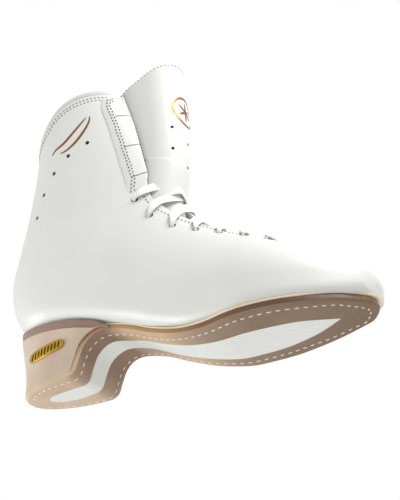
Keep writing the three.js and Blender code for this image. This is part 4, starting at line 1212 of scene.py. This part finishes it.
# ---------------------------------------------------------------- sole and heel
SOLE_LENGTH = 248.0
HEEL_HALF = 26.7
HEEL_ROUND = 48.0
HEEL_POWER = 2.3
SOLE_EDGES = [(48, -26.7, 26.7), (85, -23.5, 29.6), (105, -25.6, 28.9), (130, -32.2, 31.4),
              (155, -38.8, 36.2), (180, -43, 37.3), (205, -38.6, 32.9), (228, -24.6, 28),
              (240, -11, 24)]
SOLE_TIP = (SOLE_LENGTH, 8)
SKIVE_WIDTH = 2.6
SKIVE_HEIGHTS = (1.5, 1.7, 2.3, 2.1, 1.4, 1.4)
INLAY_EDGES = [(20, -6, 6), (34, -8.2, 8.4), (50, -9.3, 6.2), (68, -8.5, 8), (85, -5.6, 9.4),
               (105, -10.2, 11.3), (130, -14.1, 12), (155, -16.9, 18), (180, -16.9, 18.7),
               (205, -11.5, 12.2)]
INLAY_TIP = (225, 3)
INLAY_ENDS = (16.05, 224.95)


def heel_outline(x, half=HEEL_HALF, back=0.0):
    """Half width of the heel at x."""
    reach = np.clip((HEEL_ROUND - np.asarray(x, float)) / (HEEL_ROUND - back), 0, 1)
    return half * (1 - reach ** HEEL_POWER) ** (1 / HEEL_POWER)


def edge_curves():
    """The outsole's lateral and medial edges as dense curves of x and y."""
    if "edges" not in BUILT:
        medial = [(x, y) for x, _, y in SOLE_EDGES]
        lateral = [(x, y) for x, y, _ in SOLE_EDGES][::-1]
        loop = catmull(medial + [SOLE_TIP] + lateral, np.linspace(0, 2 * len(medial), 721), False)
        middle = len(loop) // 2
        BUILT["edges"] = (loop[middle:][::-1], loop[:middle + 1])
    return BUILT["edges"]


def sole_edge(x, side):
    x = np.asarray(x, float)
    curve = edge_curves()[0 if side < 0 else 1]
    ahead = np.interp(x, np.maximum.accumulate(curve[:, 0]), curve[:, 1])
    return np.where(x < HEEL_ROUND, side * heel_outline(x), ahead)


def line_rows(start, end, count, line, crowd=0.35):
    """Places along a line of x and z from start to end, closer together at both ends."""
    x = np.linspace(start, end, 4000)
    dense_line = np.stack([x, height(line, x)], 1)
    u = np.linspace(0, 1, count)
    return even(dense_line, (1 - crowd) * u + crowd * (0.5 - 0.5 * np.cos(math.pi * u)))


def sole_grid(line, start, end, count, inset, columns, edges=sole_edge):
    rows = []
    across = np.linspace(-1, 1, columns)
    for x, z in line_rows(start + inset, end - inset, count, line):
        outer = min(max((x - inset * (1 - 2 * (x - start) / (end - start))), start), end)
        low, high = float(edges(outer, -1)) + inset, float(edges(outer, 1)) - inset
        if low > high:
            low = high = (low + high) / 2
        y = (low + high) / 2 + (high - low) / 2 * across
        rows.append(np.stack([np.full(columns, x), y, np.full(columns, z)], 1))
    return np.array(rows)


def inlay_edge(x, side):
    lateral = catmull([(x_, y) for x_, y, _ in INLAY_EDGES] + [INLAY_TIP], np.linspace(0, 10, 300), False)
    medial = catmull([(x_, y) for x_, _, y in INLAY_EDGES] + [INLAY_TIP], np.linspace(0, 10, 300), False)
    curve = lateral if side < 0 else medial
    y = np.interp(x, curve[:, 0], curve[:, 1])
    start = np.clip((x - 16) / 8, 0, 1)
    return y * math.sqrt(1 - (1 - start) ** 2)


def skive(obj):
    """Thins the sole's edge from below, most at the waist."""
    for vertex in obj.data.vertices:
        x, y, z = np.array(vertex.co) / MM + (HEEL_FACE_CENTRE, 0, 0)
        inside = float(sole_edge(x, 1)) - y if y > 0 else y - float(sole_edge(x, -1))
        if inside < SKIVE_WIDTH and z < height(SOLE_LINE, x) + 0.3:
            amount = np.interp(x, [0, 50, 70, 120, 160, SOLE_LENGTH], SKIVE_HEIGHTS)
            vertex.co.z += MM * amount * (1 - max(inside, 0) / SKIVE_WIDTH)


class BOOT_OT_sole(BootOperator):
    """Builds the stitched outsole, its pale inlay and the welt"""
    bl_idname = "boot.sole"
    bl_label = "Outsole, inlay and welt"

    def build(self):
        grid = sole_grid(SOLE_LINE, 0.02, SOLE_LENGTH - 0.05, 220, 0.0, 41)
        sole = shell("leather_outsole", grid, SOLE_THICKNESS, toward=(0, 0, -1), bevel=0.7, segments=3,
                     finishes=(material("sole"), material("edge"), material("arris")), reshape=skive)
        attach(sole, "boot")
        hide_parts("outsole")
        band = sole_grid(SOLE_LINE - (0, 0.22), *INLAY_ENDS, 200, 0.0, 21, inlay_edge)
        inlay = shell("sole_inlay", band, 1.3, toward=(0, 0, -1), bevel=0.35)
        coat(inlay, material("inlay"))
        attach(inlay, "boot")
        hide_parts("outsole_inlay")
        rim_low = raised(SOLE_LINE, SOLE_THICKNESS + 0.2)
        x = np.concatenate([np.linspace(72, SOLE_LENGTH - 9, 150),
                            SOLE_LENGTH - 9 * np.linspace(1, 0, 26)[1:] ** 2])
        rings = []
        lines = [np.stack([x, sole_edge(x, side)], 1) for side in (-1, 1)]
        path = np.vstack([lines[0], lines[1][::-1][1:]])
        inward = left_of(path)
        profile = catmull([(0.2, 0.1), (-0.5, 0.6), (0.1, 1.25), (3, 1.55), (9, 1.55), (10, 0.8), (9, 0.1),
                           (3, 0.0), (0.2, 0.1)], np.linspace(0, 8, 20)[:-1], False)
        for (px, py), (nx, ny) in zip(path, inward):
            rings.append([(px + nx * depth, py + ny * depth, height(rim_low, px + nx * depth) + up)
                          for depth, up in profile])
        welt = tube_piece("welt_strip", rings, 60)
        coat(welt, material("welt"))
        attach(welt, "boot")
        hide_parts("welt")


HEEL_LEVELS = np.array([(0, 0, 0), (14, 0.6, 0), (28, -0.6, 1.2), (55, -4.2, 3)], float)
HEEL_SEAT_HEIGHT = 5.8
BLOCK_TOP = np.vstack([SEAT_LINE - (0, HEEL_SEAT_HEIGHT + CLEARANCE), (76, 28.5), (110, 13)])
HEEL_FRONT = 73.0
PLATE_HALF_LENGTH, PLATE_HALF_HEIGHT = 15.5, 3.4


def heel_wall(x0, z, grow=0.0):
    """X and half width of the heel's side at height z for an outline place x0."""
    curve = catmull(HEEL_LEVELS, np.linspace(0, 3, 61), False)
    back = np.interp(z, curve[:, 0], curve[:, 1]) - grow
    half = HEEL_HALF + np.interp(z, curve[:, 0], curve[:, 2]) + grow
    share = np.clip(x0 / HEEL_ROUND, 0, 1)
    x = np.where(x0 < HEEL_ROUND, back + (HEEL_ROUND - back) * share, x0)
    y = half * (1 - (1 - share) ** HEEL_POWER) ** (1 / HEEL_POWER)
    narrowed = y - np.clip((x0 - 54) / 20, 0, 1) * 1.5
    return x, np.where(x0 < HEEL_ROUND, y, narrowed)


def heel_grid(low_line, high_line, grow, rows, front=HEEL_FRONT, bulge=0.0):
    along = np.linspace(0, 1, 60)
    x0 = np.concatenate([front - (front - HEEL_ROUND) * np.linspace(0, 1, 24)[:-1],
                         HEEL_ROUND * (1 - np.sin(along * math.pi / 2) ** 1.15)])
    columns = []
    for side, places in ((1, x0), (-1, x0[::-1][1:])):
        for place_ in places:
            u = np.linspace(0, 1, rows)
            low, high = height(low_line, place_), height(high_line, place_)
            z = low + (max(high, low + 0.05) - low) * u
            x, y = heel_wall(np.full(rows, place_), z, grow)
            swell = bulge * np.sin(u * math.pi)
            columns.append(np.stack([x - swell * (place_ < 6), side * (y + swell), z], 1))
    return np.array(columns).transpose(1, 0, 2)


class BOOT_OT_heel(BootOperator):
    """Builds the covered heel, the heel seat and the plate on its outer side"""
    bl_idname = "boot.heel"
    bl_label = "Heel, seat and plate"

    def build(self):
        floor = raised(SOLE_LINE, SOLE_THICKNESS + 0.05)
        floor = np.vstack([[(-12, SOLE_THICKNESS + 0.05)], floor[floor[:, 0] > 40]])
        floor[:, 0] = np.maximum.accumulate(floor[:, 0])
        block = shell("heel_cover", heel_grid(floor, BLOCK_TOP, 0.0, 26), 2.5, bevel=0.45)
        coat(block, material("heel"))
        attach(block, "boot")
        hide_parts("heel_block")
        top = SEAT_LINE - (0, CLEARANCE * 0.5)
        top = np.vstack([top, (70, 34.4), (75, 31.6), (80, 28.4)])
        seat = shell("heel_seat_band", heel_grid(BLOCK_TOP + (0, CLEARANCE * 0.5), top, -0.9, 8, 79.0, 0.25),
                     2.5, bevel=0.3)
        coat(seat, material("seat"))
        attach(seat, "boot")
        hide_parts("heel_seat")
        wall = Skin(heel_grid(floor, BLOCK_TOP, 0.0, 26))
        tilt, centre = 0.11, np.array([30.5, 23.5])
        turn = np.array([[math.cos(tilt), -math.sin(tilt)], [math.sin(tilt), math.cos(tilt)]])

        def on_wall(u, v, lift):
            x, z = centre + turn @ np.array([u, v])
            p, n = wall.ray((x, -80, z), (0, 1, 0))
            return p + n * lift

        def outline(u):
            share = abs(u / PLATE_HALF_LENGTH)
            return PLATE_HALF_HEIGHT * (1 - share ** 6) ** 0.5 if share < 1 else 0.0

        across = np.linspace(-1, 1, 9)
        stations = PLATE_HALF_LENGTH * np.sin(np.linspace(-math.pi / 2, math.pi / 2, 41))
        face = np.array([[on_wall(u, v * max(outline(u), 0.02), 1.25) for v in across] for u in stations])
        plate = shell("heel_plate", face, 1.0, toward=(0, -1, 0), bevel=0.3)
        coat(plate, material("brass"))
        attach(plate, "boot")
        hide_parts("heel_badge")
        for number, start in enumerate(np.arange(-11.5, 12, 2.9)):
            line = [on_wall(start + v * 0.45, v, 1.3) for v in np.linspace(-2.1, 2.1, 5)]
            groove = strip(f"plate_groove_{number + 1}", dense(line, 3),
                           np.broadcast_to((0, -1, 0), (13, 3)), 1.15, 0.3)
            coat(groove, material("engraved"))
            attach(groove, "boot")


# X along the sole and the seam's distance from its medial edge there; the first also holds laterally.
SEAM_INSETS = ([0, 70, 110, 190, 225, 240], [6.0, 6.0, 9.5, 9.5, 7.0, 6.0])


class BOOT_OT_sole_stitches(BootOperator):
    """Builds the thread stitches round the outsole"""
    bl_idname = "boot.sole_stitches"
    bl_label = "Sole stitching"

    def build(self):
        sides = []
        for side in (-1, 1):
            x = np.concatenate([np.linspace(4.5, SOLE_LENGTH - 14, 500),
                                SOLE_LENGTH - 14 * np.linspace(1, 0, 100)[1:] ** 2])
            sides.append(np.stack([x, sole_edge(x, side)], 1))
        outline = np.vstack([sides[0], sides[1][::-1][1:]])
        inward = left_of(outline)
        inset = np.where(outline[:, 1] > 0, np.interp(outline[:, 0], *SEAM_INSETS), SEAM_INSETS[1][0])
        line = outline + inward * inset[:, None]
        clear = [np.linalg.norm(outline - p, axis=1).min() > 0.9 * SEAM_INSETS[1][0] for p in line]
        line = line[clear]
        path = even(np.column_stack([line, height(SOLE_LINE, line[:, 0])]), np.linspace(0, 1, 1500))
        at, along = spaced(path, millimetres("sole_stitch_pitch"))
        spots = []
        for p, a in zip(at, along):
            slope = height(SOLE_LINE, p[0] + 0.5) - height(SOLE_LINE, p[0] - 0.5)
            spots.append((p, np.array([slope, 0, -1.0]), a))
        dots = seeds("sole_stitches", spots, millimetres("sole_stitch"), 1.1, 0.4)
        coat(dots, material("thread"))
        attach(dots, "boot")


EMBLEM_RADIUS, EMBLEM_HEIGHT = 11.5, 189


class BOOT_OT_marks(BootOperator):
    """Builds the plain foil marks: a swash on the side and a ring with a snow star on the tongue"""
    bl_idname = "boot.marks"
    bl_label = "Foil marks"

    def build(self):
        swashes = [[(41.5, 168), (45, 171), (52, 173.5), (59, 178.5), (66, 184.5), (71, 189.5)],
                   [(49, 166.5), (55, 167.5), (62, 171.5), (68, 177.5), (72.5, 184.5), (73.6, 190)]]
        for number, line in enumerate(swashes):
            hits = [skin().side(x, z, -1) for x, z in dense(line, 6)]
            points = np.array([p + n * 0.12 for p, n in hits])
            widths = 0.7 + 1.3 * np.sin(np.linspace(0, math.pi, len(points)))
            swash = strip(f"side_swash_{number + 1}", points, [n for _, n in hits], widths, 0.25)
            coat(swash, material("copper"))
            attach(swash, "boot")
        surface = BUILT["tongue_skin"]

        def on_tongue(y, z):
            p, n = surface.ray((200, y, z), (-1, 0, 0))
            return p + n * 0.15, n

        ring = np.linspace(0, 2 * math.pi, 49)
        lines = [[(EMBLEM_RADIUS * math.cos(t), EMBLEM_HEIGHT + EMBLEM_RADIUS * math.sin(t)) for t in ring]]
        for k in range(3):
            t = math.radians(90 + 60 * k)
            arm = np.linspace(-8, 8, 13)
            lines.append([(a * math.cos(t), EMBLEM_HEIGHT + a * math.sin(t)) for a in arm])
        pieces = []
        for line in lines:
            hits = [on_tongue(y, z) for y, z in line]
            pieces.append(strip("emblem_line", [h[0] for h in hits], [h[1] for h in hits], 1.7, 0.3))
        only(pieces[0])
        for piece in pieces:
            piece.select_set(True)
        bpy.ops.object.join()
        emblem = named(bpy.context.object, "tongue_mark")
        coat(emblem, material("copper"))
        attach(emblem, "tongue")
        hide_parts("tongue_emblem")


CAD_FINISHES = [
    (("eyelet_",), "eyelet"), (("hook_lateral", "hook_medial", "heel_screw", "steel_shank"), "steel"),
    (("insole_board",), "board"), (("toe_puff", "heel_counter", "vamp_backer"), "stiffener"),
    (("ankle_pad",), "foam"), (("cork_filler",), "cork"),
]


class BOOT_OT_hardware(BootOperator):
    """Gives the steel parts and the hidden inner layers their finishes"""
    bl_idname = "boot.hardware"
    bl_label = "Hardware and inner layers"

    def build(self):
        for starts, key in CAD_FINISHES:
            for name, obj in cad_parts.items():
                if name.startswith(starts):
                    coat(obj, material(key))


# ---------------------------------------------------------------- stage
CAMERA_PLACE = (0.39577, -0.57134, -0.26574)
CAMERA_AZIMUTH, CAMERA_ELEVATION, CAMERA_ROLL = 26.595, -28.229, -4.353
CAMERA_LENS = 79.0
FLOOR_HEIGHT = -0.6
SURROUND_LIGHT = 0.7  # the studio's soft light; its backdrop itself shows white


def camera_turn(azimuth, elevation, roll):
    a, e, t = (math.radians(v) for v in (azimuth, elevation, roll))
    back = Vector((math.sin(a) * math.cos(e), -math.cos(a) * math.cos(e), math.sin(e)))
    right = Vector((math.cos(a), math.sin(a), 0))
    up = back.cross(right)
    turned = right * math.cos(t) + up * math.sin(t)
    up = -right * math.sin(t) + up * math.cos(t)
    return Matrix((turned, up, back)).transposed().to_4x4()


LIGHTS = [  # name, place, target, size in metres, watts
    ("key", (0.75, -0.15, 0.7), (0.08, 0, 0.1), 0.45, 8.5),
    ("back_light", (-0.65, -0.35, -0.15), (0.0, 0, 0.05), 0.4, 3.4),
    ("far_fill", (0.0, 0.8, 0.4), (0.06, 0, 0.1), 0.8, 1.8),
]


class BOOT_OT_stage(BootOperator):
    """Builds the camera, the soft lights and the pale floor"""
    bl_idname = "boot.stage"
    bl_label = "Stage"

    def build(self):
        scene = bpy.context.scene
        data = bpy.data.cameras.new("camera")
        data.lens, data.sensor_width = CAMERA_LENS, 36.0
        camera = bpy.data.objects.new("camera", data)
        camera.matrix_world = (Matrix.Translation(CAMERA_PLACE)
                               @ camera_turn(CAMERA_AZIMUTH, CAMERA_ELEVATION, CAMERA_ROLL))
        scene.collection.objects.link(camera)
        scene.camera = camera
        scene.view_settings.view_transform = "Standard"
        for name, where, target, size, power in LIGHTS:
            lamp = bpy.data.lights.new(name, "AREA")
            lamp.energy, lamp.size = power, size
            light = bpy.data.objects.new(name, lamp)
            aim = (Vector(target) - Vector(where)).to_track_quat("-Z", "Y")
            light.matrix_world = Matrix.Translation(where) @ aim.to_matrix().to_4x4()
            scene.collection.objects.link(light)
        world = bpy.data.worlds.new("studio")
        scene.world = world
        world.use_nodes = True
        tree = world.node_tree
        tree.nodes["Background"].inputs["Color"].default_value = (1, 1, 1, 1)
        seen = add_node(tree, "ShaderNodeLightPath").outputs["Is Camera Ray"]
        strength = add_node(tree, "ShaderNodeMapRange", inputs={0: seen, 3: SURROUND_LIGHT, 4: 1.0})
        tree.links.new(strength.outputs[0], tree.nodes["Background"].inputs["Strength"])
        bpy.ops.object.select_all(action="DESELECT")
        bpy.ops.mesh.primitive_plane_add(size=8, location=(0, 0, FLOOR_HEIGHT))
        floor = named(bpy.context.object, "floor")
        coat(floor, plain("painted_studio_floor", linear("f2f2f2"), linear("f1f1f1"), 0.8, 30))


STEPS = [BOOT_OT_stage, BOOT_OT_upper, BOOT_OT_lining, BOOT_OT_collar, BOOT_OT_tongue, BOOT_OT_facings,
         BOOT_OT_lace, BOOT_OT_upper_stitches, BOOT_OT_sole, BOOT_OT_heel, BOOT_OT_sole_stitches,
         BOOT_OT_marks, BOOT_OT_hardware]


class BOOT_PT_panel(bpy.types.Panel):
    """Lists the boot's settings and the steps that build it"""
    bl_label = "Figure-skate boot"
    bl_idname = "BOOT_PT_panel"
    bl_space_type = "VIEW_3D"
    bl_region_type = "UI"
    bl_category = "Boot"

    def draw(self, context):
        for group in (context.scene.boot_sizes, context.scene.boot_colours):
            for key in group.__annotations__:
                self.layout.prop(group, key)
        for step in STEPS:
            self.layout.operator(step.bl_idname)


CLASSES = [BootColours, BootSizes, *STEPS, BOOT_PT_panel]


def register():
    for item in CLASSES:
        bpy.utils.register_class(item)
    bpy.types.Scene.boot_colours = PointerProperty(type=BootColours)
    bpy.types.Scene.boot_sizes = PointerProperty(type=BootSizes)


def unregister():
    del bpy.types.Scene.boot_sizes
    del bpy.types.Scene.boot_colours
    for item in reversed(CLASSES):
        bpy.utils.unregister_class(item)


def main():
    register()
    for step in STEPS:
        group, name = step.bl_idname.split(".")
        getattr(getattr(bpy.ops, group), name)()


if __name__ == "__main__":
    main()
